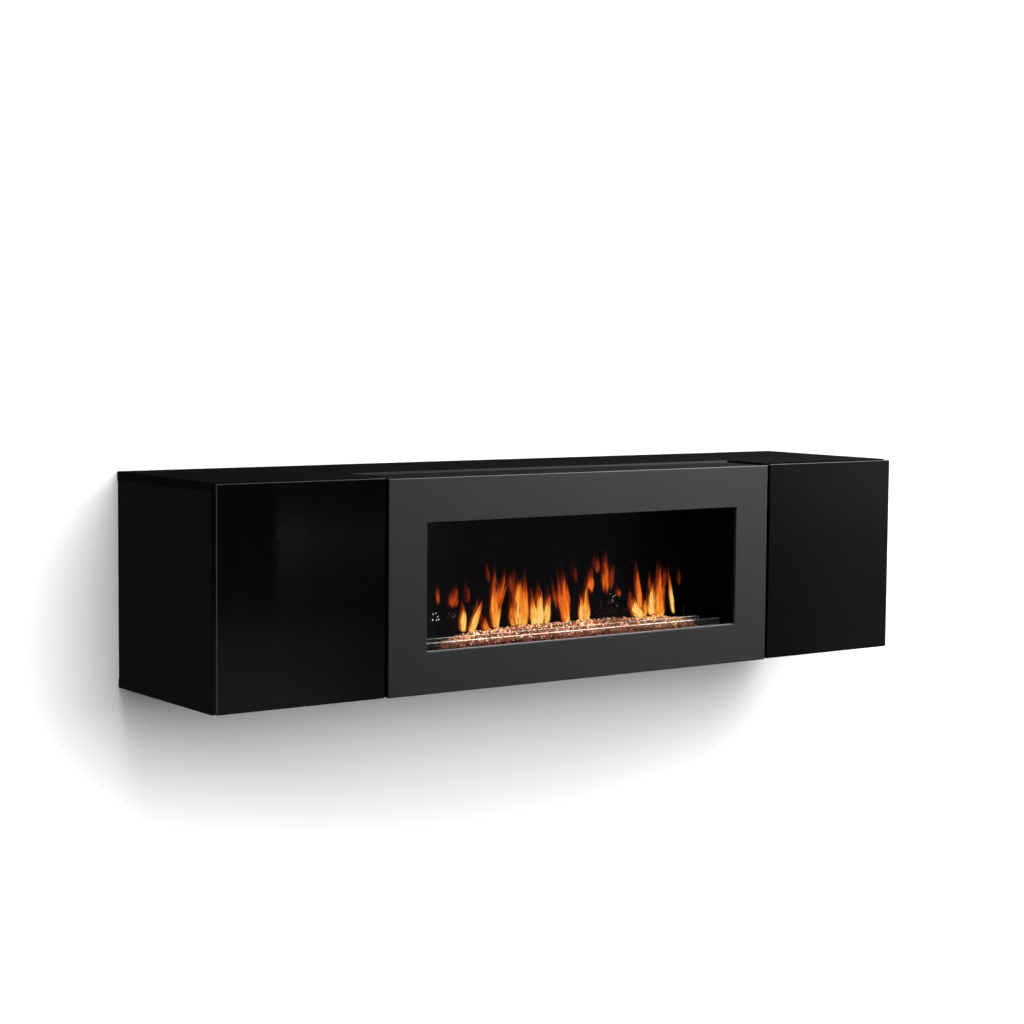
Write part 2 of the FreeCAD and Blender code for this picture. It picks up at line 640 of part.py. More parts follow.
def casing():
    """The folded shell: back, top and underside from one sheet, and two end plates."""
    low, high = "unit_low", "unit_high"
    points = [("casing_front", low), ("casing_rear", low), ("casing_rear", high),
              ("casing_front", high), ("casing_front", f"{high} - sheet"),
              ("casing_rear - sheet", f"{high} - sheet"),
              ("casing_rear - sheet", f"{low} + sheet"), ("casing_front", f"{low} + sheet")]
    shell = body_of("x", ("-casing_half", "casing_half"), lambda sketch: outline(sketch, points))
    vent_y = ("vent_front", "vent_rear")
    vents = (("-vent_half", "vent_half"),
             ("intake_x - intake_vent_half", "intake_x + intake_vent_half"),
             ("control_x - control_vent_half", "control_x + control_vent_half"))
    for x in vents:
        pocketed(shell, "z", (f"{low} - 1", f"{low} + sheet + 1"),
                 lambda sketch, x=x: outline(sketch, rectangle(x, vent_y)))
    inlet = rectangle(("inlet_x - inlet_half_x - 0.2", "inlet_x + inlet_half_x + 0.2"),
                      ("inlet_z - inlet_half_z - 0.2", "inlet_z + inlet_half_z + 0.2"))
    pocketed(shell, "y", ("casing_rear - sheet - 1", "casing_rear + 1"),
             lambda sketch: outline(sketch, inlet))
    node(shell, "casing_shell")
    ends = [block(mirrored(("casing_half", "casing_half + sheet"), side),
                  ("casing_front", "casing_rear"), (low, high)) for side in (-1, 1)]
    node(together(ends), "casing_ends")


# ---------------------------------------------------------------- flame chamber

def chamber():
    """Splayed side walls, ceiling and glossy floor round the flame picture."""
    walls = []
    for side in (-1, 1):
        points = [(f"{side} * chamber_half_front", "chamber_front"),
                  (f"{side} * chamber_half_rear", "chamber_rear"),
                  (f"{side} * (chamber_half_rear + 1.3)", "chamber_rear"),
                  (f"{side} * (chamber_half_front + 1.3)", "chamber_front")]
        walls.append(body_of("z", ("floor_high + 0.1", "chamber_high - 0.1"),
                             lambda sketch, points=points: outline(sketch, points)))
    plan = [("-chamber_half_front", "chamber_front"), ("chamber_half_front", "chamber_front"),
            ("chamber_half_rear", "chamber_rear"), ("-chamber_half_rear", "chamber_rear")]
    walls.append(body_of("z", ("chamber_high", "chamber_high + 1"),
                         lambda sketch: outline(sketch, plan)))
    node(together(walls), "chamber_liner")
    floor = body_of("z", ("chamber_low", "floor_high"), lambda sketch: outline(sketch, plan))
    pocketed(floor, "z", ("chamber_low - 1", "floor_high + 1"),
             lambda sketch: outline(sketch, rectangle(("-slot_half", "slot_half"),
                                                      ("slot_front", "slot_rear"))))
    node(floor, "chamber_floor")
    screen = block(("-screen_half", "screen_half"), ("screen_front", "screen_rear"),
                   ("screen_low", "screen_high"))
    node(screen, "flame_screen")
    profile = [("strip_front", "floor_high"), ("strip_rear", "floor_high"),
               ("strip_rear", "strip_high"), ("strip_front + 2", "strip_high"),
               ("strip_front + 2", "strip_step"), ("strip_front", "strip_step")]
    node(body_of("x", ("-strip_half", "strip_half"),
                 lambda sketch: outline(sketch, profile)), "acrylic_strip")


def ember_bed():
    """A sheet tray under the floor's slot, its lamps, and the heap of crystals on top."""
    x = ("tray_gap - slot_half", "slot_half - tray_gap")
    y = ("slot_front + tray_gap", "slot_rear - tray_gap")
    tray = block(x, y, ("tray_low", "chamber_low + 2"))
    inside = block((f"{x[0]} + 1", f"{x[1]} - 1"), (f"{y[0]} + 1", f"{y[1]} - 1"),
                   ("tray_low + 1", "floor_high"))
    node(without(tray, [inside]), "ember_tray")
    node(led_strip("led_y", "led_low", "y", 24), "ember_led_strip")
    long_view = [("-bed_half", "bed_low"), ("12 - bed_half", "bed_high - 17"),
                 ("-230", "bed_high - 6"), ("-90", "bed_high"), ("80", "bed_high - 1"),
                 ("220", "bed_high - 6"), ("bed_half - 14", "bed_high - 14"),
                 ("bed_half", "bed_low")]
    end_view = [("bed_front", "bed_low"), ("bed_front", "bed_high - 20"),
                ("bed_front + 8", "bed_high - 6"), ("bed_front + 16", "bed_high"),
                ("bed_rear - 10", "bed_high - 2"), ("bed_rear", "bed_high - 12"),
                ("bed_rear", "bed_low")]
    heap_long = body_of("y", ("bed_front", "bed_rear"), lambda sketch: outline(sketch, long_view))
    heap_end = body_of("x", ("-bed_half", "bed_half"), lambda sketch: outline(sketch, end_view))
    node(common(heap_long, heap_end), "crystal_bed")


def led_strip(y, z, facing, count):
    """A lamp strip: a flat board with a row of small lamps; facing y lies flat, x stands."""
    flat = facing == "y"
    wide = ("6", "led_height") if flat else ("led_height / 2", "12")
    strip = block(("-led_half", "led_half"), (f"{y} - {wide[0]}", f"{y} + {wide[0]}"),
                  (z, f"{z} + {wide[1]}"))
    pitch = 2.0 * (DIMENSIONS["led_half"] - 15) / (count - 1)
    lamps = []
    for index in range(count):
        x = 15 - DIMENSIONS["led_half"] + pitch * index
        if flat:
            lamps.append(block((x - 2.5, x + 2.5), (f"{y} - 2.5", f"{y} + 2.5"),
                               (f"{z} + {wide[1]}", f"{z} + {wide[1]} + 1.2")))
        else:
            lamps.append(block((x - 2.5, x + 2.5), (f"{y} - {wide[0]} - 1.2", f"{y} - {wide[0]}"),
                               (f"{z} + 3.5", f"{z} + 8.5")))
    return joined([strip] + lamps)


# ---------------------------------------------------------------- flame mechanism

def spun_plate(x, inner, outer, thick, centre, angle):
    """A thin plate standing radially off a shaft along X, turned by an angle in degrees."""
    turn = FreeCAD.Rotation(Vector(1, 0, 0), angle)
    plate = doc.addObject("Part::Box", "Plate")
    shift = turn.multVec(Vector(0, inner, -thick / 2))
    plate.Placement = FreeCAD.Placement(Vector(), turn)
    bind(plate, "Length", f"({x[1]}) - ({x[0]})")
    plate.Width = outer - inner
    plate.Height = thick
    bind(plate, "Placement.Base.x", x[0])
    bind(plate, "Placement.Base.y", f"{centre[0]} + {shift.y}")
    bind(plate, "Placement.Base.z", f"{centre[1]} + {shift.z}")
    return plate


def flame_rotor():
    """The shaft with its spiral of bright flags, two brackets, the motor and the lamps."""
    centre = ("rotor_y", "rotor_z")
    pieces = [rod("x", ("-rotor_half", "rotor_end"), centre, "rotor_shaft")]
    count = 30
    pitch = 18.0
    for index in range(count):
        x = (index - (count - 1) / 2) * pitch
        for half in (0, 180):
            pieces.append(spun_plate((f"{x} - flag_wide/2", f"{x} + flag_wide/2"), 1.5,
                                     DIMENSIONS["flag_reach"] - 2 * (index % 2),
                                     DIMENSIONS["flag_sheet"], centre, 67 * index + half))
    node(joined(pieces), "flame_rotor")
    brackets = []
    for side in (-1, 1):
        x = mirrored(("bracket_x", "bracket_x + bracket_wide"), side)
        foot = block(x, ("rotor_y - bracket_half", "rotor_y + bracket_half"),
                     ("unit_low + sheet", "rotor_z + bracket_half"))
        bore = rod("x", (f"{x[0]} - 1", f"{x[1]} + 1"), centre, "rotor_shaft + bearing_play")
        brackets.append(without(foot, [bore]))
    node(together(brackets), "rotor_bearings")
    can = rod("x", ("motor_near", "motor_far"), centre, "motor_radius")
    nose = rod("x", ("motor_near - 4", "motor_near"), centre, "6")
    ears = block(("motor_near", "motor_near + 1.5"), ("rotor_y - 5", "rotor_y + 5"),
                 ("rotor_z - 27", "rotor_z + 27"))
    bore = rod("x", ("motor_near - 5", "rotor_end + 1"), centre, "rotor_shaft + bearing_play")
    node(without(joined([can, nose, ears]), [bore]), "rotor_motor")
    node(led_strip("casing_rear - sheet - led_height/2", "rotor_z - 30", "x", 24),
         "flame_led_strip")


# ---------------------------------------------------------------- blower and heater

def blower():
    centre = ("blower_y", "blower_z")
    half = "impeller_half"
    pieces = [rod("x", ("shaft_left", "shaft_right"), centre, "blower_shaft"),
              rod("x", (f"-{half}", f"-{half} + impeller_disc"), centre, "impeller_radius"),
              rod("x", (f"{half} - impeller_disc", half), centre, "impeller_radius"),
              rod("x", ("-0.75", "0.75"), centre, "impeller_radius")]
    blades = 20
    outer = DIMENSIONS["impeller_radius"] - 0.1
    for index in range(blades):
        pieces.append(spun_plate((f"1 - {half}", f"{half} - 1"), outer - DIMENSIONS["blade_deep"],
                                 outer, DIMENSIONS["blade_sheet"], centre, 360 / blades * index))
    node(joined(pieces), "blower_impeller")

    long_span = ("-housing_half", "housing_half")
    tube = rod("x", long_span, centre, "housing_radius")
    hollow = rod("x", ("housing_wall - housing_half", "housing_half - housing_wall"), centre,
                 "housing_radius - housing_wall")
    inner_span = ("housing_wall + 1 - housing_half", "housing_half - housing_wall - 1")
    outlet = block(inner_span, ("blower_y - 13", "blower_y + 13"),
                   ("blower_z - 25", "blower_z - 8"))
    intake = block(inner_span, ("blower_y + 4", "blower_y + 25"), ("blower_z + 1", "blower_z + 25"))
    shaft_hole = rod("x", ("-housing_half - 1", "housing_half + 1"), centre,
                     "blower_shaft + bearing_play")
    node(without(tube, [hollow, outlet, intake, shaft_hole]), "blower_housing")

    stack = block(("blower_motor_near", "blower_motor_far"), ("blower_y - 17", "blower_y + 17"),
                  ("blower_z - 14", "blower_z + 17"))
    coil = block(("blower_motor_near + 6", "blower_motor_far - 6"),
                 ("blower_y + 17", "blower_y + 31"), ("blower_z - 12", "blower_z + 12"))
    seat = rod("x", ("blower_motor_near - 1", "shaft_right + 1"), centre,
               "blower_shaft + bearing_play")
    node(without(joined([stack, coil]), [seat]), "blower_motor")


def heater():
    """Sheathed rods between two ceramic end blocks, with the cut-out beside them."""
    x = ("-heater_half", "heater_half")
    y = ("heater_front", "heater_rear")
    z = ("heater_low", "heater_high")
    blocks = [block((x[0], f"{x[0]} + 6"), y, z), block((f"{x[1]} - 6", x[1]), y, z)]
    rods = [rod("x", (f"{x[0]} + 3", f"{x[1]} - 3"), (f"heater_front + {offset}",
                                                      "(heater_low + heater_high) / 2"),
                "heater_rod") for offset in (4, 10, 16, 22)]
    node(joined(blocks + rods), "heating_element")
    cap = rod("z", ("heater_low", "heater_low + 6"), ("-heater_half - 22", "blower_y"), "7")
    tabs = [block((f"-heater_half - {near}", f"-heater_half - {far}"),
                  ("blower_y - 2", "blower_y + 2"), ("heater_low + 6", "heater_low + 13"))
            for near, far in ((26, 25.2), (18.8, 18))]
    node(joined([cap] + tabs), "thermal_cutout")


def slotted_grille(centre, half, vent_half):
    """A flat grille over a vent in the underside, with cross slots."""
    low = "unit_low + sheet + 0.1"
    plate = block((f"{centre} - {half}", f"{centre} + {half}"), ("grille_front", "grille_rear"),
                  (low, f"{low} + grille_thick"))
    count = int(2 * (DIMENSIONS[vent_half] - 6) // DIMENSIONS["slot_pitch"]) + 1
    slots = []
    for index in range(count):
        x = (index - (count - 1) / 2) * DIMENSIONS["slot_pitch"]
        slots.append(block((f"{centre} + {x} - slot_wide/2", f"{centre} + {x} + slot_wide/2"),
                           ("vent_front + 2", "vent_rear - 2"), (f"{low} - 1", f"{low} + 3")))
    return without(plate, slots)


# ---------------------------------------------------------------- controls and electrics

def controls():
    """The panel in the underside, a rocker and two push buttons."""
    low = "unit_low + sheet + 0.1"
    plate = block(("control_x - control_half", "control_x + control_half"),
                  ("grille_front", "grille_rear"), (low, f"{low} + 2"))
    buttons = ("button_flame_x", "button_heat_x")
    holes = [rod("z", (f"{low} - 1", f"{low} + 3"), (x, "control_y"),
                 "button_radius + button_play") for x in buttons]
    gap_x = ("rocker_x - rocker_half - rocker_play", "rocker_x + rocker_half + rocker_play")
    gap_y = ("control_y - rocker_wide - 0.5", "control_y + rocker_wide + 0.5")
    holes.append(block(gap_x, gap_y, (f"{low} - 1", f"{low} + 3")))
    roof = block(("control_x - control_half", "control_x + control_half"),
                 ("grille_front + 4", "grille_rear - 4"), ("switch_high - 1.5", "switch_high"))
    posts = [block((f"control_x + {place} - 2", f"control_x + {place} + 2"),
                   ("grille_front + 4", "grille_rear - 4"), (f"{low} + 1", "switch_high"))
             for place in ("control_half - 3", "-control_half + 3")]
    cheeks = [block(("rocker_x - 2.5", "rocker_x + 2.5"), span, (f"{low} + 1", "switch_high"))
              for span in (("control_y + rocker_wide + 0.7", "control_y + rocker_wide + 4"),
                           ("control_y - rocker_wide - 4", "control_y - rocker_wide - 0.7"))]
    pin_hole = rod("y", ("control_y - rocker_pin_half - 0.5", "control_y + rocker_pin_half + 0.5"),
                   ("rocker_x", "rocker_pivot_z"), "rocker_pin + bearing_play")
    frame = without(joined([plate, roof] + posts + cheeks), holes + [pin_hole])
    node(frame, "switch_panel")

    for x, label in zip(buttons, ("flame_button", "heat_button")):
        cap = rod("z", ("button_low", "button_high"), (x, "control_y"), "button_radius")
        collar = rod("z", ("button_collar_low", "button_collar_high"), (x, "control_y"),
                     "button_collar")
        node(joined([cap, collar]), label)

    rocker = block(("rocker_x - rocker_half", "rocker_x + rocker_half"),
                   ("control_y - rocker_wide", "control_y + rocker_wide"),
                   ("rocker_low + 1", "rocker_high"))
    dish = rod("y", ("control_y - rocker_wide - 1", "control_y + rocker_wide + 1"),
               ("rocker_x", "rocker_low - 26.2"), "28")
    pin = rod("y", ("control_y - rocker_pin_half", "control_y + rocker_pin_half"),
              ("rocker_x", "rocker_pivot_z"), "rocker_pin")
    level = joined([without(rocker, [dish]), pin])
    doc.recompute()
    tilted = doc.addObject("Part::Feature", "Rocker")
    tilted.Shape = level.Shape.copy()
    pivot = Vector(DIMENSIONS["rocker_x"], DIMENSIONS["control_y"], DIMENSIONS["rocker_pivot_z"])
    turn = FreeCAD.Rotation(Vector(0, 1, 0), DIMENSIONS["rocker_tilt"])
    tilted.Placement = FreeCAD.Placement(Vector(), turn, pivot)
    node(tilted, "rocker_switch")


def electrics():
    """Control board, power supply and the mains inlet in the casing's back."""
    board = block(("335", "425"), ("-312", "-266"), ("board_low", "board_low + board_thick"))
    top = "board_low + board_thick"
    parts = [block(("342", "362"), ("-300", "-284"), (top, f"{top} + 15")),
             block(("370", "384"), ("-304", "-290"), (top, f"{top} + 3")),
             block(("395", "419"), ("-308", "-298"), (top, f"{top} + 9"))]
    caps = [rod("z", (top, f"{top} + 14"), (str(x), "-276"), "5") for x in (343, 355)]
    posts = [rod("z", ("unit_low + sheet", "board_low"), (x, y), "3")
             for x in ("341", "419") for y in ("-306", "-272")]
    node(joined([board] + parts + caps + posts), "control_board")

    supply = block(("supply_near", "supply_far"), ("supply_front", "supply_rear"),
                   ("unit_low + sheet", "supply_high"))
    slots = [block((f"supply_near + {10 + 9 * index}", f"supply_near + {14 + 9 * index}"),
                   ("supply_front + 6", "supply_rear - 6"), ("supply_high - 1", "supply_high + 1"))
             for index in range(9)]
    node(without(supply, slots), "power_supply")

    x = ("inlet_x - inlet_half_x", "inlet_x + inlet_half_x")
    z = ("inlet_z - inlet_half_z", "inlet_z + inlet_half_z")
    shell = block(x, ("inlet_front", "inlet_rear"), z)
    flange = block((f"{x[0]} - inlet_flange", f"{x[1]} + inlet_flange"),
                   ("inlet_flange_front", "inlet_rear"), (f"{z[0]} - 2", f"{z[1]} + 2"))
    socket = block((f"{x[0]} + 3", f"{x[1]} - 3"), ("inlet_front + 4", "inlet_rear + 1"),
                   (f"{z[0]} + 3", f"{z[1]} - 3"))
    pins = [rod("y", ("inlet_front + 2", "inlet_rear - 3"), (f"inlet_x + {offset}", "inlet_z"),
                "1.4") for offset in (-5, 5)]
    node(joined([without(joined([shell, flange]), [socket])] + pins), "power_inlet")


def unit_brackets():
    """Four steel angles that tie the fire unit to the centre carcass."""
    gap = 0.2
    corner = f"centre_half - board - {gap}"
    pieces = []
    for side in (-1, 1):
        for height in ("base_z + tie_from_end", "top_z - tie_from_end"):
            z = (f"{height} - tie_half", f"{height} + tie_half")
            flat = block(mirrored((f"{corner} - tie_long", corner), side),
                         ("casing_rear + 0.2", "casing_rear + 0.2 + tie_steel"), z)
            leg = block(mirrored((f"{corner} - tie_steel", corner), side),
                        ("casing_rear + 0.2", "casing_rear + 0.2 + tie_long"), z)
            pieces.append(joined([flat, leg]))
    node(together(pieces), "unit_brackets")


# ---------------------------------------------------------------- the whole object

def build():
    carcasses()
    hanging_hardware()
    doors_and_hinges()
    front_frame()
    glazing()
    casing()
    chamber()
    ember_bed()
    flame_rotor()
    blower()
    heater()
    node(slotted_grille("0", "grille_half", "vent_half"), "outlet_grille")
    node(slotted_grille("intake_x", "intake_half", "intake_vent_half"), "intake_grille")
    controls()
    electrics()
    unit_brackets()


def write():
    """Check every object and every sub-part, then write one file per sub-part."""
    doc.recompute()
    failed = [item.Label for item in doc.Objects
              if "Invalid" in item.State or "Error" in item.State]
    if failed:
        raise RuntimeError(f"failed objects: {failed}")
    for item in NODES:
        if item.Shape.isNull() or not item.Shape.isValid():
            raise RuntimeError(f"bad shape: {item.Label}")
    os.makedirs("parts", exist_ok=True)
    for item in NODES:
        item.Shape.exportStep(os.path.join("parts", item.Label + ".step"))
    print(len(NODES), "nodes")


build()
write()
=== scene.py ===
"""Looks of the wall-hung electric fireplace: materials, crystals, flames, fasteners, studio and camera.

Everything is in metres in the CAD frame: X runs along the wall, -Y faces the room, Z is up.
"""

import math
import random

import bmesh
import bpy
from mathutils import Matrix, Vector, noise
from mathutils.bvhtree import BVHTree


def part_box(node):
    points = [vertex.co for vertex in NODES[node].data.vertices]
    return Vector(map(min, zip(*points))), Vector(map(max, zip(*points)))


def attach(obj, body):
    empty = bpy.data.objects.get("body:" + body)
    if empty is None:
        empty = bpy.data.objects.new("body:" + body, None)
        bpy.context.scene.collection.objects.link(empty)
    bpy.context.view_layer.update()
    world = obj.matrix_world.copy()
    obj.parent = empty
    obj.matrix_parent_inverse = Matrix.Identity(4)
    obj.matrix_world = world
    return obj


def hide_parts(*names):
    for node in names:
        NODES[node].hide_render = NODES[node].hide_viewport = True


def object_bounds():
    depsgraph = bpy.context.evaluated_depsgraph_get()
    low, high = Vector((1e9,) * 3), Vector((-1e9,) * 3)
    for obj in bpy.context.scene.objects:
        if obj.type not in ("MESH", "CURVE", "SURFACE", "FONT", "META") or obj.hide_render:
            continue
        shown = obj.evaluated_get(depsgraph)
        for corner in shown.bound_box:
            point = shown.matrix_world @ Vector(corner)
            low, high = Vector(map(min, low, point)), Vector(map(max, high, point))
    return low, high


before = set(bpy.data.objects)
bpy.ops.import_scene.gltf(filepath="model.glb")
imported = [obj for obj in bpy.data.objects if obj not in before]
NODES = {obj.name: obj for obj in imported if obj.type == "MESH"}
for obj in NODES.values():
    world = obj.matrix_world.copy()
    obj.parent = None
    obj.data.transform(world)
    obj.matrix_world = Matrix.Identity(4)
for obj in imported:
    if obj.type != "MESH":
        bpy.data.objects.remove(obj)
CAD_BOX = [list(corner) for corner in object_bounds()]
UNDERSIDE = CAD_BOX[0][2]
DOOR_LOW, DOOR_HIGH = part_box("left_door")
FRAME_LOW, FRAME_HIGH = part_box("front_frame")
STRIP_LOW, STRIP_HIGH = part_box("acrylic_strip")
BED_LOW, BED_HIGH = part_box("crystal_bed")
MM = 0.001
LIP_TOP = STRIP_HIGH.z + 8 * MM         # the clear lip that stands on the strip
WINDOW_FOOT, WINDOW_HALF = -0.267, 0.371    # the window's lower edge and half its width


# ---------------------------------------------------------------- building materials

class Finish:
    """A procedural material: small chains of nodes that feed one Principled shader."""

    def __init__(self, name):
        self.material = bpy.data.materials.new(name)
        self.material.use_nodes = True
        self.tree = self.material.node_tree
        self.shader = next(n for n in self.tree.nodes if n.type == "BSDF_PRINCIPLED")
        self.place = self.add("ShaderNodeTexCoord").outputs["Object"]

    def add(self, kind, **settings):
        node = self.tree.nodes.new(kind)
        for name, value in settings.items():
            setattr(node, name, value)
        return node

    def feed(self, socket, value):
        if isinstance(value, bpy.types.NodeSocket):
            self.tree.links.new(value, socket)
        else:
            socket.default_value = value

    def set(self, **values):
        for name, value in values.items():
            self.feed(self.shader.inputs[name.replace("_", " ")], value)

    def moved(self, stretch=(1, 1, 1), offset=(0, 0, 0)):
        mapping = self.add("ShaderNodeMapping")
        self.feed(mapping.inputs["Vector"], self.place)
        mapping.inputs["Scale"].default_value = stretch
        mapping.inputs["Location"].default_value = offset
        return mapping.outputs["Vector"]

    def noise(self, scale, detail=3.0, stretch=(1, 1, 1)):
        node = self.add("ShaderNodeTexNoise")
        self.feed(node.inputs["Vector"], self.moved(stretch))
        node.inputs["Scale"].default_value = scale
        node.inputs["Detail"].default_value = detail
        return node.outputs["Fac"]

    def cells(self, scale, output="Distance"):
        node = self.add("ShaderNodeTexVoronoi")
        self.feed(node.inputs["Vector"], self.place)
        node.inputs["Scale"].default_value = scale
        return node.outputs[output]

    def axis(self, name):
        node = self.add("ShaderNodeSeparateXYZ")
        self.feed(node.inputs[0], self.place)
        return node.outputs[name]

    def math(self, operation, a, b=0.0, c=0.0, clamp=False):
        node = self.add("ShaderNodeMath", operation=operation, use_clamp=clamp)
        for socket, value in zip(node.inputs, (a, b, c)):
            self.feed(socket, value)
        return node.outputs[0]

    def span(self, value, low, high, to_low=0.0, to_high=1.0, smooth=False):
        node = self.add("ShaderNodeMapRange", interpolation_type="SMOOTHSTEP" if smooth else "LINEAR")
        for socket, item in zip(node.inputs, (value, low, high, to_low, to_high)):
            self.feed(socket, item)
        return node.outputs["Result"]

    def ramp(self, value, stops, smooth=False):
        node = self.add("ShaderNodeValToRGB")
        node.color_ramp.interpolation = "EASE" if smooth else "LINEAR"
        elements = node.color_ramp.elements
        while len(elements) < len(stops):
            elements.new(0.5)
        for element, (position, colour) in zip(elements, stops):
            element.position = position
            element.color = (*colour, 1) if len(colour) == 3 else colour
        self.feed(node.inputs["Fac"], value)
        return node.outputs["Color"]

    def mix(self, factor, a, b, blend="MIX"):
        node = self.add("ShaderNodeMix", data_type="RGBA", blend_type=blend)
        self.feed(node.inputs["Factor"], factor)
        for name, value in (("A", a), ("B", b)):
            socket = next(s for s in node.inputs if s.name == name and s.type == "RGBA")
            if not isinstance(value, bpy.types.NodeSocket):
                value = (*value, 1)
            self.feed(socket, value)
        return next(s for s in node.outputs if s.type == "RGBA")

    def relief(self, layers, socket="Normal"):
        """Bump from several heights, each (height, depth in metres)."""
        normal = None
        for height, depth in layers:
            bump = self.add("ShaderNodeBump")
            bump.inputs["Strength"].default_value = 1.0
            bump.inputs["Distance"].default_value = depth
            self.feed(bump.inputs["Height"], height)
            if normal:
                self.feed(bump.inputs["Normal"], normal)
            normal = bump.outputs["Normal"]
        self.feed(self.shader.inputs[socket], normal)

    def point_value(self, name):
        node = self.add("ShaderNodeAttribute", attribute_name=name, attribute_type="GEOMETRY")
        split = self.add("ShaderNodeSeparateColor")
        self.feed(split.inputs[0], node.outputs["Color"])
        return [split.outputs[i] for i in range(3)]


def grained(name, dark, light, rough, relief=(), patch=14.0, grain=900.0, stretch=(1, 1, 1), **settings):
    """A surface whose colour drifts in large patches and fine grain, with matching roughness and relief."""
    finish = Finish(name)
    patches = finish.noise(patch, 4.0, stretch)
    fine = finish.noise(grain, 2.0, stretch)
    blend = finish.math("MULTIPLY_ADD", fine, 0.55, finish.math("MULTIPLY", patches, 0.45))
    finish.set(Base_Color=finish.ramp(blend, [(0.3, dark), (0.7, light)]))
    finish.set(Roughness=finish.span(blend, 0.3, 0.7, *rough))
    finish.relief([(finish.noise(scale, 3.0, stretch), depth) for scale, depth in relief])
    finish.set(**settings)
    return finish


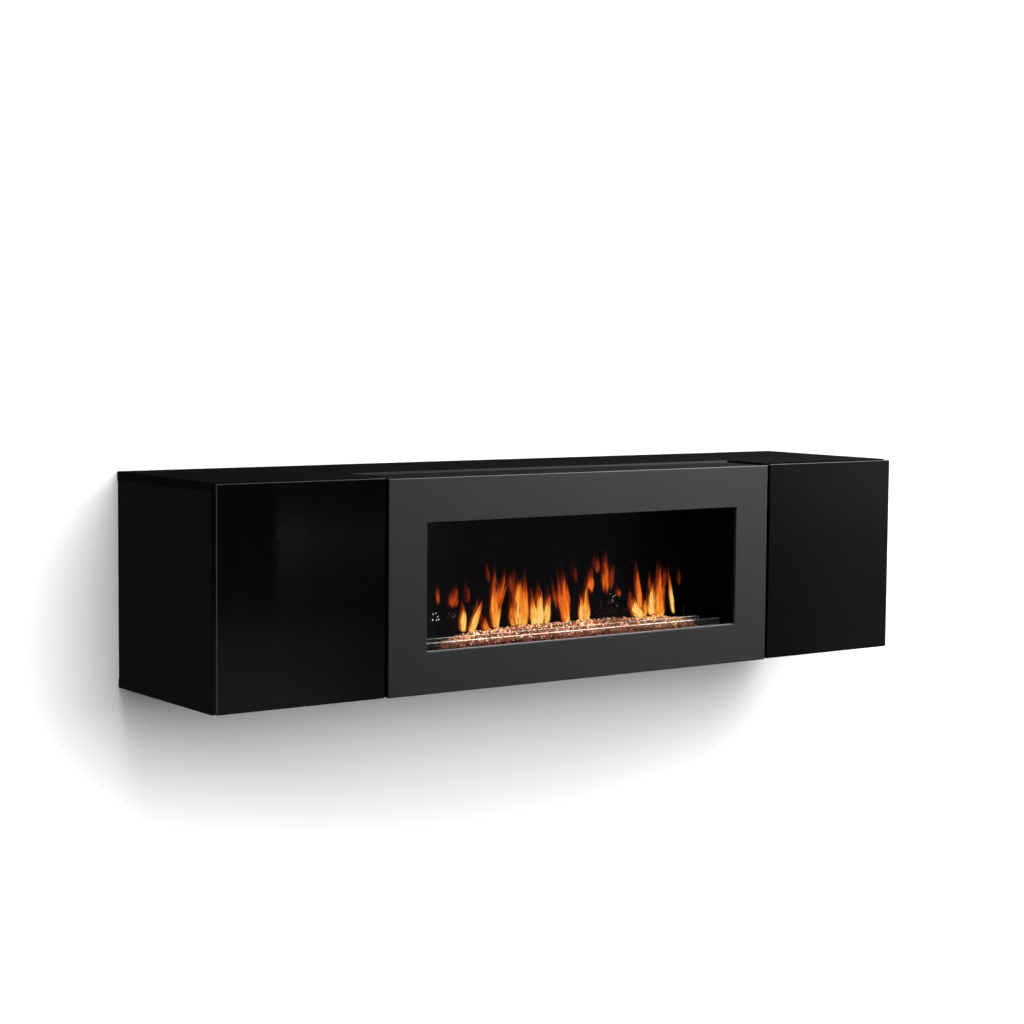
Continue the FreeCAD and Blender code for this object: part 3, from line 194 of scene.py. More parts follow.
def make_finishes():
    made = {}

    pores = [(1300, 0.00006), (90, 0.00004)]
    made["black_laminate"] = grained(
        "black_laminate", (0.0026, 0.0026, 0.0028), (0.0046, 0.0046, 0.0049), (0.44, 0.56), relief=pores,
        Specular_IOR_Level=0.18)
    # Top boards: a darker copy of the black laminate, painted shade that holds their tops down against the
    # light falling on them.
    made["painted_shade_laminate"] = grained(
        "painted_shade_laminate", (0.0013, 0.0013, 0.0014), (0.0024, 0.0024, 0.0026), (0.46, 0.58), relief=pores,
        Specular_IOR_Level=0.09)

    # Centre top board: the same darker, painted-shade copy of the laminate, plus a painted highlight, its
    # front edge lightened to stand in for the light caught there.
    edge = grained("centre_board_laminate", (0.0013, 0.0013, 0.0014), (0.0024, 0.0024, 0.0026), (0.44, 0.56),
                   relief=[(1300, 0.00006)], Specular_IOR_Level=0.09)
    board_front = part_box("centre_top_board")[0].y
    painted_highlight_edge = edge.math("LESS_THAN", edge.axis("Y"), board_front + 1.5 * MM)
    edge.set(Base_Color=edge.mix(painted_highlight_edge, (0.0018, 0.0018, 0.0019), (0.045, 0.045, 0.047)))
    made["painted_shade_and_highlight_laminate"] = edge

    lacquer_dark, lacquer_light = (0.0008, 0.0008, 0.0009), (0.0014, 0.0014, 0.0015)
    gloss = grained("gloss_lacquer", lacquer_dark, lacquer_light, (0.28, 0.36),
                    relief=[(26, 0.00002)], Specular_IOR_Level=0.08,
                    Coat_Weight=1.0, Coat_Roughness=0.006, Coat_IOR=1.5)
    # Painted highlight: a thin band on the front of the door's top edge and outer side is lightened to stand
    # in for light caught on the edges.
    door_top, door_side = DOOR_HIGH.z - 1.3 * MM, abs(DOOR_LOW.x) - 1.3 * MM
    upper = gloss.math("GREATER_THAN", gloss.axis("Z"), door_top)
    outer = gloss.math("GREATER_THAN", gloss.math("ABSOLUTE", gloss.axis("X")), door_side)
    front = gloss.math("LESS_THAN", gloss.axis("Y"), DOOR_LOW.y + 1.2 * MM)
    rim = gloss.math("MULTIPLY", front, gloss.math("MAXIMUM", upper, gloss.math("MULTIPLY", outer, 0.8)))
    lacquer = gloss.ramp(gloss.noise(30, 3.0), [(0.3, lacquer_dark), (0.7, lacquer_light)])
    gloss.set(Base_Color=gloss.mix(rim, lacquer, (0.085, 0.085, 0.088)))
    gloss.relief([(gloss.noise(42, 2.0), 0.000022)], "Coat Normal")
    made["black_gloss"] = gloss

    powder = grained(
        "graphite_powder_coat", (0.030, 0.030, 0.031), (0.043, 0.043, 0.0445), (0.50, 0.62),
        relief=[(1500, 0.00005), (420, 0.00004)], grain=1500, patch=5, Metallic=0.15,
        Specular_IOR_Level=0.45)
    # Painted highlight: the frame's top front edge is lightened, in patches, to stand in for light caught on
    # the edge.
    upper = powder.math("GREATER_THAN", powder.axis("Z"), FRAME_HIGH.z - 1.1 * MM)
    front = powder.math("LESS_THAN", powder.axis("Y"), FRAME_LOW.y + 1.1 * MM)
    uneven = powder.span(powder.noise(4, 4.0), 0.3, 0.7, 0.4, 1.0)
    painted_frame_highlight = powder.math("MULTIPLY", powder.math("MULTIPLY", upper, front), uneven)
    flecks = powder.ramp(powder.noise(1500, 2.0),
                         [(0.3, (0.027, 0.027, 0.028)), (0.7, (0.044, 0.044, 0.0455))])
    powder.set(Base_Color=powder.mix(painted_frame_highlight, flecks, (0.16, 0.16, 0.162)))
    made["graphite_steel"] = powder

    glass = Finish("clear_glass")
    smear = glass.noise(7, 5.0, (1, 1, 2.2))
    glass.set(Base_Color=(0.965, 0.975, 0.972, 1), Transmission_Weight=1.0, IOR=1.5,
              Roughness=glass.span(smear, 0.45, 0.75, 0.0, 0.012))
    made["clear_glass"] = glass

    acrylic = Finish("edge_lit_acrylic")
    height, across = acrylic.axis("Z"), acrylic.axis("X")
    strip_top = STRIP_HIGH.z
    # Painted light: glowing lines along the strip's top edge and the top of its clear lip, fading at the ends
    # and warm towards the bed, stand in for light caught on those edges.
    lip = acrylic.span(height, LIP_TOP - 0.8 * MM, LIP_TOP - 0.2 * MM, smooth=True)
    rise = acrylic.span(height, strip_top - 1.5 * MM, strip_top - 0.7 * MM, smooth=True)
    top = acrylic.math("MULTIPLY", rise,
                       acrylic.math("LESS_THAN", height, strip_top + 0.2 * MM))
    ends = acrylic.math("MULTIPLY", acrylic.span(across, 0.272, 0.296, 1.0, 0.03, smooth=True),
                        acrylic.span(across, -0.312, -0.292, 0.30, 1.0, smooth=True))
    glitter = acrylic.span(acrylic.noise(150, 3.0, (1, 0.2, 0.2)), 0.35, 0.7, 0.35, 1.3)
    painted_glow_lines = acrylic.math("MULTIPLY", acrylic.math("MULTIPLY_ADD", lip, 0.75, top),
                         acrylic.math("MULTIPLY", ends, glitter))
    bedside = acrylic.ramp(acrylic.noise(30, 2.0), [(0.35, (1.0, 0.58, 0.38)), (0.65, (1.0, 0.86, 0.74))])
    plain = acrylic.math("MAXIMUM", acrylic.span(across, -0.300, -0.285, 1.0, 0.0),
                         acrylic.span(across, 0.12, 0.25, 0.0, 0.8))
    acrylic.set(Base_Color=(0.97, 0.97, 0.98, 1), Transmission_Weight=0.96, IOR=1.49, Roughness=0.03,
                Emission_Color=acrylic.mix(plain, bedside, (0.95, 0.93, 0.90)),
                Emission_Strength=acrylic.math("MULTIPLY", painted_glow_lines, 1.5))
    made["clear_acrylic"] = acrylic

    made["black_rubber"] = grained("foam_rubber", (0.010, 0.010, 0.010), (0.022, 0.022, 0.022), (0.75, 0.9),
                                   relief=[(2200, 0.00012)])
    made["black_steel"] = grained(
        "stove_paint", (0.0014, 0.0014, 0.0016), (0.0032, 0.0032, 0.0034), (0.55, 0.7),
        relief=[(1600, 0.00004)], Specular_IOR_Level=0.22)

    def black_with_painted_glow(name, dark, light, rough, level, fade):
        """A black inner surface with a painted faint bluish glow, fading out to the right."""
        finish = grained(name, dark, light, rough, relief=[(900, 0.00003)], Specular_IOR_Level=level)
        painted_glow = finish.math("MULTIPLY", finish.span(finish.axis("X"), *fade, 1.0, 0.0, smooth=True),
                           finish.span(finish.noise(5, 2.0), 0.3, 0.7, 0.8, 1.1))
        # Painted light: a faint emission that lifts the black surface as if dimly lit.
        finish.set(Emission_Color=(0.0030, 0.0033, 0.0039, 1), Emission_Strength=painted_glow)
        return finish

    made["chamber_liner"] = black_with_painted_glow(
        "chamber_liner", (0.0005, 0.0005, 0.0006), (0.0010, 0.0010, 0.0011), (0.6, 0.75), 0.05, (-0.1, 0.2))
    made["casing_steel"] = grained(
        "casing_coat", (0.0022, 0.0022, 0.0023), (0.0042, 0.0042, 0.0044), (0.5, 0.62),
        relief=[(1500, 0.00005)], Specular_IOR_Level=0.2)
    made["black_gloss_floor"] = grained(
        "gloss_floor", (0.001, 0.001, 0.0012), (0.002, 0.002, 0.0024), (0.10, 0.17),
        relief=[(60, 0.00003)], Specular_IOR_Level=0.5)
    made["dark_screen"] = black_with_painted_glow(
        "smoked_screen", (0.0007, 0.0007, 0.0009), (0.0011, 0.0011, 0.0013), (0.4, 0.5), 0.08, (0.08, 0.27))

    board = Finish("circuit_board")
    tracks = board.add("ShaderNodeTexBrick", offset=0.5)
    board.feed(tracks.inputs["Vector"], board.moved((1, 1, 1)))
    tracks.inputs["Scale"].default_value = 120.0
    tracks.inputs["Mortar Size"].default_value = 0.06
    board.set(Base_Color=board.mix(tracks.outputs["Fac"], (0.008, 0.055, 0.026), (0.02, 0.12, 0.055)),
              Roughness=board.span(board.noise(300), 0.3, 0.7, 0.28, 0.42), Coat_Weight=0.3)
    board.relief([(tracks.outputs["Fac"], 0.00004)])
    made["circuit_board"] = board

    led = Finish("led_strip")
    bead = led.cells(70, "Distance")
    enamel = led.ramp(led.noise(120), [(0.3, (0.62, 0.60, 0.55)), (0.7, (0.75, 0.73, 0.68))])
    led.set(Base_Color=enamel, Roughness=0.35,
            Emission_Color=(1.0, 0.36, 0.09, 1), Emission_Strength=led.span(bead, 0.1, 0.5, 1.6, 0.3))
    made["led_strip"] = led

    made["bright_sheet"] = grained(
        "bright_sheet", (0.62, 0.62, 0.64), (0.80, 0.80, 0.82), (0.16, 0.30), patch=30, grain=1400,
        stretch=(0.03, 1, 1), relief=[(900, 0.00003)], Metallic=1.0)

    zinc = Finish("zinc_plate")
    spangle = zinc.cells(85, "Color")
    tone = zinc.math("MULTIPLY_ADD", zinc.noise(600), 0.4, zinc.math("MULTIPLY", spangle, 0.5))
    zinc.set(Base_Color=zinc.ramp(tone, [(0.2, (0.44, 0.45, 0.46)), (0.8, (0.66, 0.67, 0.68))]),
             Metallic=1.0, Roughness=zinc.span(tone, 0.2, 0.8, 0.30, 0.46))
    zinc.relief([(zinc.noise(500), 0.00004)])
    made["zinc_steel"] = zinc

    made["nickel_steel"] = grained(
        "nickel_plate", (0.56, 0.55, 0.52), (0.70, 0.69, 0.66), (0.16, 0.28), patch=60, grain=1800,
        stretch=(1, 0.15, 1), relief=[(1200, 0.00002)], Metallic=1.0)
    made["motor_metal"] = grained(
        "laminated_steel", (0.20, 0.19, 0.18), (0.40, 0.38, 0.36), (0.35, 0.5), patch=40, grain=1500,
        stretch=(4, 0.2, 0.2), relief=[(900, 0.00008)], Metallic=0.9)
    made["heater_ceramic"] = grained(
        "heater_ceramic", (0.58, 0.54, 0.47), (0.76, 0.73, 0.67), (0.6, 0.8),
        relief=[(1200, 0.00008)], patch=60)
    made["grey_plastic"] = grained(
        "grey_plastic", (0.26, 0.26, 0.27), (0.33, 0.33, 0.34), (0.42, 0.55), relief=[(1500, 0.00006)])
    made["black_plastic"] = grained(
        "black_plastic", (0.013, 0.013, 0.014), (0.021, 0.021, 0.023), (0.38, 0.52), relief=[(1400, 0.00007)])
    made["hardboard"] = grained(
        "painted_hardboard", (0.030, 0.028, 0.026), (0.060, 0.056, 0.052), (0.6, 0.78), patch=25, grain=700,
        relief=[(350, 0.00015), (1500, 0.0001)], Specular_IOR_Level=0.3)
    made["trim"] = grained(
        "polished_sill", (0.10, 0.10, 0.102), (0.16, 0.16, 0.163), (0.3, 0.42), patch=22, grain=1300,
        stretch=(0.05, 1, 1), relief=[(900, 0.00002)], Metallic=0.3)
    return made


FINISHES = make_finishes()
# The nodes whose finish is not that of their CAD material.
NODE_FINISH = {
    # The centre board gets painted shade and a painted highlight on its front edge.
    "centre_top_board": "painted_shade_and_highlight_laminate",
    # The top boards get the painted-shade copy of the laminate.
    "left_top_board": "painted_shade_laminate",
    "right_top_board": "painted_shade_laminate",
    "ember_led_strip": "led_strip",
    "flame_led_strip": "led_strip",
    "chamber_liner": "chamber_liner",
    "casing_shell": "casing_steel",
    "casing_ends": "casing_steel",
}


def paint_nodes():
    """Give every CAD node its finish; loose crystals replace the crystal bed."""
    for name, node in NODES.items():
        if name == "crystal_bed":
            continue
        wanted = NODE_FINISH.get(name) or next((m.name.split(".")[0] for m in node.data.materials if m), None)
        if wanted not in FINISHES:
            raise RuntimeError(f"{name} has no finish for {wanted}")
        if not node.material_slots:
            node.data.materials.append(None)
        for place in node.material_slots:
            place.material = FINISHES[wanted].material


# ---------------------------------------------------------------- building pieces

def piece(name, vertices, faces, material, body, smooth=False):
    mesh = bpy.data.meshes.new(name)
    mesh.from_pydata(vertices, [], faces)
    mesh.materials.append(material)
    mesh.update()
    for face in mesh.polygons:
        face.use_smooth = smooth
    item = bpy.data.objects.new(name, mesh)
    bpy.context.scene.collection.objects.link(item)
    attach(item, body)
    return item


def point_colours(item, name, values, domain="POINT"):
    attribute = item.data.attributes.new(name, "FLOAT_COLOR", domain)
    attribute.data.foreach_set("color", [c for value in values for c in (*value, 1.0)])


def lists(form):
    """The points and faces of a bmesh, which is freed."""
    vertices = [v.co.copy() for v in form.verts]
    faces = [[v.index for v in f.verts] for f in form.faces]
    form.free()
    return vertices, faces


def bevelled_bar(name, low, high, material, body, edge):
    """A bar with rounded edges between two corners."""
    form = bmesh.new()
    bmesh.ops.create_cube(form, size=1.0)
    low, high = Vector(low), Vector(high)
    for vertex in form.verts:
        vertex.co = [(low[i] + high[i]) / 2 + vertex.co[i] * (high[i] - low[i]) for i in range(3)]
    bmesh.ops.bevel(form, geom=form.edges[:], offset=edge, segments=3, profile=0.5, affect="EDGES")
    vertices, faces = lists(form)
    return piece(name, vertices, faces, material, body)


# ---------------------------------------------------------------- ember bed

def bed_surface():
    """The crystal bed of the CAD model, to be asked for its height."""
    mesh = NODES["crystal_bed"].data
    points = [v.co.copy() for v in mesh.vertices]
    return BVHTree.FromPolygons(points, [list(p.vertices) for p in mesh.polygons])


def any_direction(rng):
    return Vector((rng.gauss(0, 1), rng.gauss(0, 1), rng.gauss(0, 1))).normalized()


def shard(rng, count=11):
    """The convex hull of points spread over a ball, as one crystal of radius 1."""
    form = bmesh.new()
    for _ in range(count):
        direction = any_direction(rng)
        form.verts.new(direction * rng.uniform(0.85, 1.0))
    hull = bmesh.ops.convex_hull(form, input=form.verts[:])
    loose = {g for g in hull["geom_interior"] + hull["geom_unused"] if isinstance(g, bmesh.types.BMVert)}
    bmesh.ops.delete(form, geom=list(loose), context="VERTS")
    form.verts.index_update()
    return lists(form)


HOT_SPOTS = (-0.236, -0.200, -0.162, -0.099, -0.056, 0.004, 0.048, 0.190, 0.225, 0.240)


def ember_warmth(x):
    """How orange the light in the crystals is: pinkish white on the left, amber at the right end."""
    patches = noise.noise(Vector((x * 18, 3.1, 0.7)))
    return min(1.0, max(0.0, 0.28 + 0.16 * patches + 0.62 / (1 + math.exp(-(x - 0.165) / 0.018))))


def ember_ends(x):
    """The bed darkens towards its two ends."""
    return min(1.0, max(0.06, (0.288 - x) / 0.026)) * min(1.0, max(0.35, (x + 0.302) / 0.03))


def ember_heat(x):
    """How hot the bed is, highest at the feet of the flames."""
    return sum(math.exp(-((x - spot) / 0.022) ** 2) for spot in HOT_SPOTS)


CRYSTAL_PITCH = 0.0047
CRYSTAL_SIZES = (0.0017, 0.0027)                # radii
LAYER_DEPTHS = (0.0048, 0.0018, -0.0006)        # below the surface of the bed
TOP_LAYER_GAPS = 0.55                           # share of places left empty in the last layer
LIT_CRYSTALS = 0.44                             # share of crystals that catch the light
SPARKLING_FACETS = 0.86


def crystal_finish():
    finish = Finish("lit_crystal")
    bright, warm, tint = finish.point_value("glow")
    colour = finish.ramp(warm, [(0.05, (1.0, 0.43, 0.24)), (0.35, (1.0, 0.39, 0.155)),
                                (0.65, (1.0, 0.29, 0.05)), (1.0, (1.0, 0.48, 0.09))])
    hottest = finish.ramp(warm, [(0.3, (1.0, 0.70, 0.42)), (0.8, (1.0, 0.64, 0.22))])
    pale = finish.mix(finish.span(bright, 0.28, 0.75, 0.0, 0.85), colour, hottest)
    finish.set(Base_Color=finish.mix(tint, (0.30, 0.14, 0.11), (0.60, 0.42, 0.36)), Roughness=0.12,
               Transmission_Weight=0.25, IOR=1.5, Emission_Color=pale,
               Emission_Strength=finish.math("MULTIPLY", finish.math("POWER", bright, 1.4), 2.6))
    return finish


def make_crystals():
    """Loose crystals in three layers over the bed; each facet holds its own glow, warmth and tint."""
    rng = random.Random(11)
    kinds = [shard(rng) for _ in range(8)]
    surface = bed_surface()
    vertices, faces, glow = [], [], []
    columns = int((BED_HIGH.x - BED_LOW.x) / CRYSTAL_PITCH)
    rows = int((BED_HIGH.y - BED_LOW.y) / CRYSTAL_PITCH)
    cells = [(layer, i, j) for layer in range(len(LAYER_DEPTHS)) for i in range(columns)
             for j in range(rows)]
    for layer, i, j in cells:
        if layer == 2 and rng.random() < TOP_LAYER_GAPS:
            continue
        x = BED_LOW.x + (i + 0.5 + rng.uniform(-0.42, 0.42)) * CRYSTAL_PITCH
        y = BED_LOW.y + (j + 0.5 + rng.uniform(-0.42, 0.42)) * CRYSTAL_PITCH
        hit = surface.ray_cast(Vector((x, y, 0.0)), Vector((0, 0, -1)))[0]
        if hit is None:
            continue
        size = rng.uniform(*CRYSTAL_SIZES)
        centre = Vector((x, y, hit.z - size - LAYER_DEPTHS[layer] + rng.uniform(-0.0008, 0.0008)))
        low = Vector((BED_LOW.x + size, BED_LOW.y + size, BED_LOW.z + size))
        centre = Vector([max(low[k], centre[k]) for k in range(3)])
        shape, sides = kinds[rng.randrange(len(kinds))]
        angle = rng.uniform(0, math.tau)
        turn = Matrix.Rotation(angle, 3, any_direction(rng))
        stretch = Vector((size * rng.uniform(0.8, 1.15), size * rng.uniform(0.8, 1.1), size))
        first = len(vertices)
        for corner in shape:
            vertices.append(centre + turn @ Vector([corner[k] * stretch[k] for k in range(3)]))
        warmth = min(1.0, max(0.0, ember_warmth(x) + rng.uniform(-0.16, 0.16)))
        heat = min(1.0, 0.62 + 0.25 * ember_heat(x)) * ember_ends(x)
        own = heat * (rng.uniform(0.9, 1.5) if rng.random() < LIT_CRYSTALS else rng.uniform(0.02, 0.22))
        for side in sides:
            faces.append([first + k for k in side])
            spark = rng.random()
            facet = own * (0.45 + 0.75 * spark + (0.8 if spark > SPARKLING_FACETS else 0.0))
            glow += [(min(1.0, facet / 2), warmth, spark)] * len(side)
    item = piece("crystals", vertices, faces, crystal_finish().material, "cabinet")
    point_colours(item, "glow", glow, "CORNER")
    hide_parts("crystal_bed")


def make_ember_core():
    """A lumpy body of glowing bed below the loose crystals."""
    surface = bed_surface()
    columns, rows = 240, 14
    margin = 1.6 * MM
    top, bottom = [], []
    for i in range(columns + 1):
        x = BED_LOW.x + margin + (BED_HIGH.x - BED_LOW.x - 2 * margin) * i / columns
        for j in range(rows + 1):
            y = BED_LOW.y + margin + (BED_HIGH.y - BED_LOW.y - 2 * margin) * j / rows
            hit = surface.ray_cast(Vector((x, y, 0.0)), Vector((0, 0, -1)))[0]
            ground = BED_LOW.z + 0.0006
            high = hit.z if hit else ground
            lump = 0.0062 + 0.0016 * noise.noise(Vector((x * 160, y * 160, 5.0)))
            top.append(Vector((x, y, max(ground + 0.0004, high - lump))))
            bottom.append(Vector((x, y, ground)))
    stride = rows + 1
    offset = len(top)
    faces = []
    for i in range(columns):
        for j in range(rows):
            a = i * stride + j
            faces.append([a, a + stride, a + stride + 1, a + 1])
            faces.append([offset + a, offset + a + 1, offset + a + stride + 1, offset + a + stride])
    rim = ([(i * stride, (i + 1) * stride) for i in range(columns)]
           + [(columns * stride + j, columns * stride + j + 1) for j in range(rows)]
           + [((i + 1) * stride + rows, i * stride + rows) for i in reversed(range(columns))]
           + [(j + 1, j) for j in reversed(range(rows))])
    faces += [[b, a, offset + a, offset + b] for a, b in rim]
    finish = Finish("ember_core")
    spots = finish.noise(120, 4.0)
    right = finish.span(finish.axis("X"), 0.12, 0.2, smooth=True)
    hue = finish.mix(right, (1.0, 0.20, 0.10), (1.0, 0.26, 0.03))
    char = finish.ramp(spots, [(0.35, (0.03, 0.008, 0.005)), (0.7, (0.30, 0.10, 0.05))])
    finish.set(Base_Color=char, Roughness=0.7,
               Emission_Color=hue, Emission_Strength=finish.span(spots, 0.4, 0.72, 0.02, 0.30))
    finish.relief([(spots, 0.0006)])
    piece("ember_core", top + bottom, faces, finish.material, "cabinet", smooth=True)


# ---------------------------------------------------------------- flames

# Each tongue, in millimetres: base x, base height, tip x, tip height, width, heat 0..1, strength.
# Heights are above the underside of the object.
TONGUES = (
    (-290, 149, -291, 186, 10, 0.34, 0.55), (-262, 142, -258, 176, 22, 0.26, 0.75),
    (-254, 150, -246, 186, 10, 0.30, 0.5), (-236, 98, -236, 154, 17, 0.86, 1.0),
    (-216, 93, -188, 157, 19, 0.82, 1.0), (-182, 90, -186, 126, 18, 0.52, 0.75),
    (-225, 146, -222, 188, 12, 0.16, 0.34), (-163, 100, -168, 214, 22, 0.56, 0.95),
    (-156, 128, -136, 208, 14, 0.42, 0.8), (-162, 98, -158, 160, 18, 0.74, 0.9),
    (-104, 96, -109, 198, 26, 0.66, 1.0), (-94, 96, -96, 190, 24, 0.60, 0.95),
    (-118, 98, -124, 150, 14, 0.55, 0.7), (-70, 95, -76, 160, 22, 0.84, 1.0),
    (-56, 94, -53, 170, 26, 0.96, 1.15), (-44, 96, -34, 160, 18, 0.82, 1.0),
    (8, 97, -18, 190, 16, 0.42, 0.85), (6, 97, 0, 199, 20, 0.48, 0.95),
    (8, 96, 12, 180, 22, 0.44, 0.85), (8, 96, 10, 132, 15, 0.80, 1.0),
    (-12, 120, -26, 180, 11, 0.24, 0.6), (50, 95, 56, 182, 15, 0.66, 1.0),
    (46, 96, 44, 150, 14, 0.86, 1.0), (56, 98, 60, 142, 12, 0.8, 0.95),
    (67, 148, 70, 194, 18, 0.50, 0.9), (78, 186, 81, 226, 10, 0.22, 0.6),
    (105, 142, 102, 222, 20, 0.46, 0.85), (110, 150, 122, 210, 12, 0.24, 0.5),
    (140, 139, 137, 160, 11, 0.28, 0.6), (190, 112, 176, 200, 17, 0.50, 0.95),
    (192, 94, 171, 140, 27, 0.98, 1.2), (200, 98, 206, 136, 16, 0.6, 0.9),
    (222, 98, 224, 168, 20, 0.86, 1.05), (236, 100, 240, 200, 22, 0.52, 0.95),
    (242, 92, 246, 138, 36, 0.56, 0.8), (276, 98, 262, 180, 12, 1.0, 1.0),
    (292, 150, 294, 190, 10, 0.14, 0.25), (-130, 160, -128, 206, 10, 0.2, 0.45),
    (-176, 180, -178, 226, 9, 0.16, 0.35), (28, 170, 26, 214, 10, 0.14, 0.3),
    (252, 150, 256, 196, 12, 0.18, 0.4),
)
TONGUE_SHIFT, TONGUE_GROWTH = -8.5, 0.12
FLOATING = 115                                  # a tongue whose foot is higher than this has left the bed
FLAME_ROWS, FLAME_COLUMNS = 22, 8
# Each tongue is four sheets: the tongue, two narrower ones in it, and a tall dim veil behind.
VEIL = 3
SHEET_HEAT = (1.0, 0.92, 0.86, 0.36)
SHEET_STRENGTH = (1.0, 0.7, 0.62, 0.42)
VEIL_Y, FLAME_Y, SHEET_STEP = -0.3033, -0.3055, 0.0016
VEIL_CROWN, FLAME_CROWN = 0.0012, 0.0028        # how far a sheet's middle stands in front of its edges


def tongue_width(share, floating):
    """Half-width of a tongue along its height, 1 at the widest; a floating one tapers at both ends."""
    if floating:
        return math.sin(math.pi * share ** 0.8) ** 1.15
    return (min(1.0, (share + 0.10) / 0.42) ** 0.75) * (1 - share) ** 0.9 * 1.3


def flame_finish():
    """Glowing gas: clear at the edges and the tip, streaked, and yellower where it is dense and low."""
    finish = Finish("flame")
    across, upward, seed = finish.point_value("tongue")
    heat, strength, floating = finish.point_value("blaze")
    side = finish.math("ABSOLUTE", finish.math("MULTIPLY_ADD", across, 2.0, -1.0))
    body = finish.math("SUBTRACT", 1.0, finish.math("POWER", side, 1.8), clamp=True)
    body = finish.math("POWER", body, 1.35)
    base = finish.span(upward, 0.0, finish.math("MULTIPLY_ADD", floating, 0.34, 0.10), smooth=True)
    tip = finish.span(upward, 0.5, 1.0, 1.0, 0.0, smooth=True)
    coordinates = finish.add("ShaderNodeCombineXYZ")
    sideways = finish.math("MULTIPLY_ADD", across, 2.6, finish.math("MULTIPLY", seed, 31.0))
    finish.feed(coordinates.inputs[0], sideways)
    finish.feed(coordinates.inputs[1], finish.math("MULTIPLY", upward, 1.5))
    finish.feed(coordinates.inputs[2], seed)
    streak = finish.add("ShaderNodeTexNoise")
    finish.feed(streak.inputs["Vector"], coordinates.outputs[0])
    streak.inputs["Scale"].default_value = 2.4
    streak.inputs["Detail"].default_value = 3.0
    streaks = finish.span(streak.outputs["Fac"], 0.34, 0.64, 0.22, 1.2)
    density = finish.math("MULTIPLY", finish.math("MULTIPLY", body, streaks),
                          finish.math("MULTIPLY", base, tip))
    share = finish.math("MULTIPLY", finish.span(density, 0.0, 0.8, 0.42, 1.2),
                        finish.span(upward, 0.12, 1.0, 1.2, 0.55))
    hot = finish.math("MULTIPLY", heat, share, clamp=True)
    colour = finish.ramp(hot, [(0.0, (0.14, 0.014, 0.005)), (0.20, (0.40, 0.042, 0.009)),
                               (0.40, (0.84, 0.125, 0.014)), (0.56, (1.0, 0.25, 0.024)),
                               (0.74, (1.0, 0.46, 0.062)), (1.0, (1.0, 0.70, 0.22))])
    cover = finish.span(density, 0.0, 0.75, smooth=True)
    finish.set(Base_Color=(0, 0, 0, 1), Roughness=1.0, Specular_IOR_Level=0.0, Emission_Color=colour,
               Emission_Strength=finish.span(hot, 0.1, 0.9, 0.98, 1.12),
               Alpha=finish.math("MULTIPLY", cover, strength, clamp=True))
    return finish


def make_flames():
    """Curved glowing sheets just in front of the smoked screen."""
    rng = random.Random(29)
    vertices, faces, shares, heats = [], [], [], []
    sheets = [(number, sheet) for number in range(len(TONGUES)) for sheet in range(len(SHEET_HEAT))]
    for number, sheet in sheets:
        x0, h0, x1, h1, width, heat, strength = TONGUES[number]
        x0, x1, h1 = x0 + TONGUE_SHIFT, x1 + TONGUE_SHIFT, h1 + TONGUE_GROWTH * (h1 - h0)
        veil, floating = sheet == VEIL, h0 > FLOATING
        spread = (1.0, rng.uniform(0.45, 0.8), rng.uniform(0.45, 0.8), rng.uniform(0.9, 1.25))[sheet]
        tall = (1.0, rng.uniform(0.7, 1.04), rng.uniform(0.7, 1.04), rng.uniform(1.12, 1.38))[sheet]
        shift = 0.0 if sheet == 0 else rng.uniform(-0.22, 0.22) * width
        sway = rng.uniform(-1, 1) * width * 0.22
        phase = rng.uniform(0, math.tau)
        turns = rng.uniform(0.6, 1.1)
        depth = VEIL_Y if veil else FLAME_Y - SHEET_STEP * ((number * 3 + sheet) % 6)
        crown = VEIL_CROWN if veil else FLAME_CROWN
        seed = (number * 0.37 + sheet * 0.61) % 1.0
        blaze = (heat * SHEET_HEAT[sheet], strength * SHEET_STRENGTH[sheet], float(floating))
        first = len(vertices)
        for row in range(FLAME_ROWS + 1):
            share = row / FLAME_ROWS
            middle = (x0 + shift + (x1 - x0 + shift * 0.5) * share
                      + sway * share * math.sin(phase + turns * math.tau * share))
            z = UNDERSIDE + (h0 + (h1 - h0) * tall * share) * MM
            half = max(0.18, width / 2 * spread * tongue_width(share, floating) * 1.3)
            for column in range(FLAME_COLUMNS + 1):
                u = column / FLAME_COLUMNS * 2 - 1
                vertices.append(Vector(((middle + u * half) * MM, depth - crown * (1 - u * u), z)))
                shares.append((u * 0.5 + 0.5, share, seed))
                heats.append(blaze)
        stride = FLAME_COLUMNS + 1
        for row in range(FLAME_ROWS):
            for column in range(FLAME_COLUMNS):
                a = first + row * stride + column
                faces.append([a, a + 1, a + stride + 1, a + stride])
    item = piece("flames", vertices, faces, flame_finish().material, "cabinet", smooth=True)
    point_colours(item, "tongue", shares)
    point_colours(item, "blaze", heats)
    item.visible_shadow = False


MOTE_Y, THREAD_Y = -0.3075, -0.3078
OCTAHEDRON = (((1, 0, 0), (-1, 0, 0), (0, 1, 0), (0, -1, 0), (0, 0, 1), (0, 0, -1)),
              ((0, 2, 4), (2, 1, 4), (1, 3, 4), (3, 0, 4), (2, 0, 5), (1, 2, 5), (3, 1, 5), (0, 3, 5)))


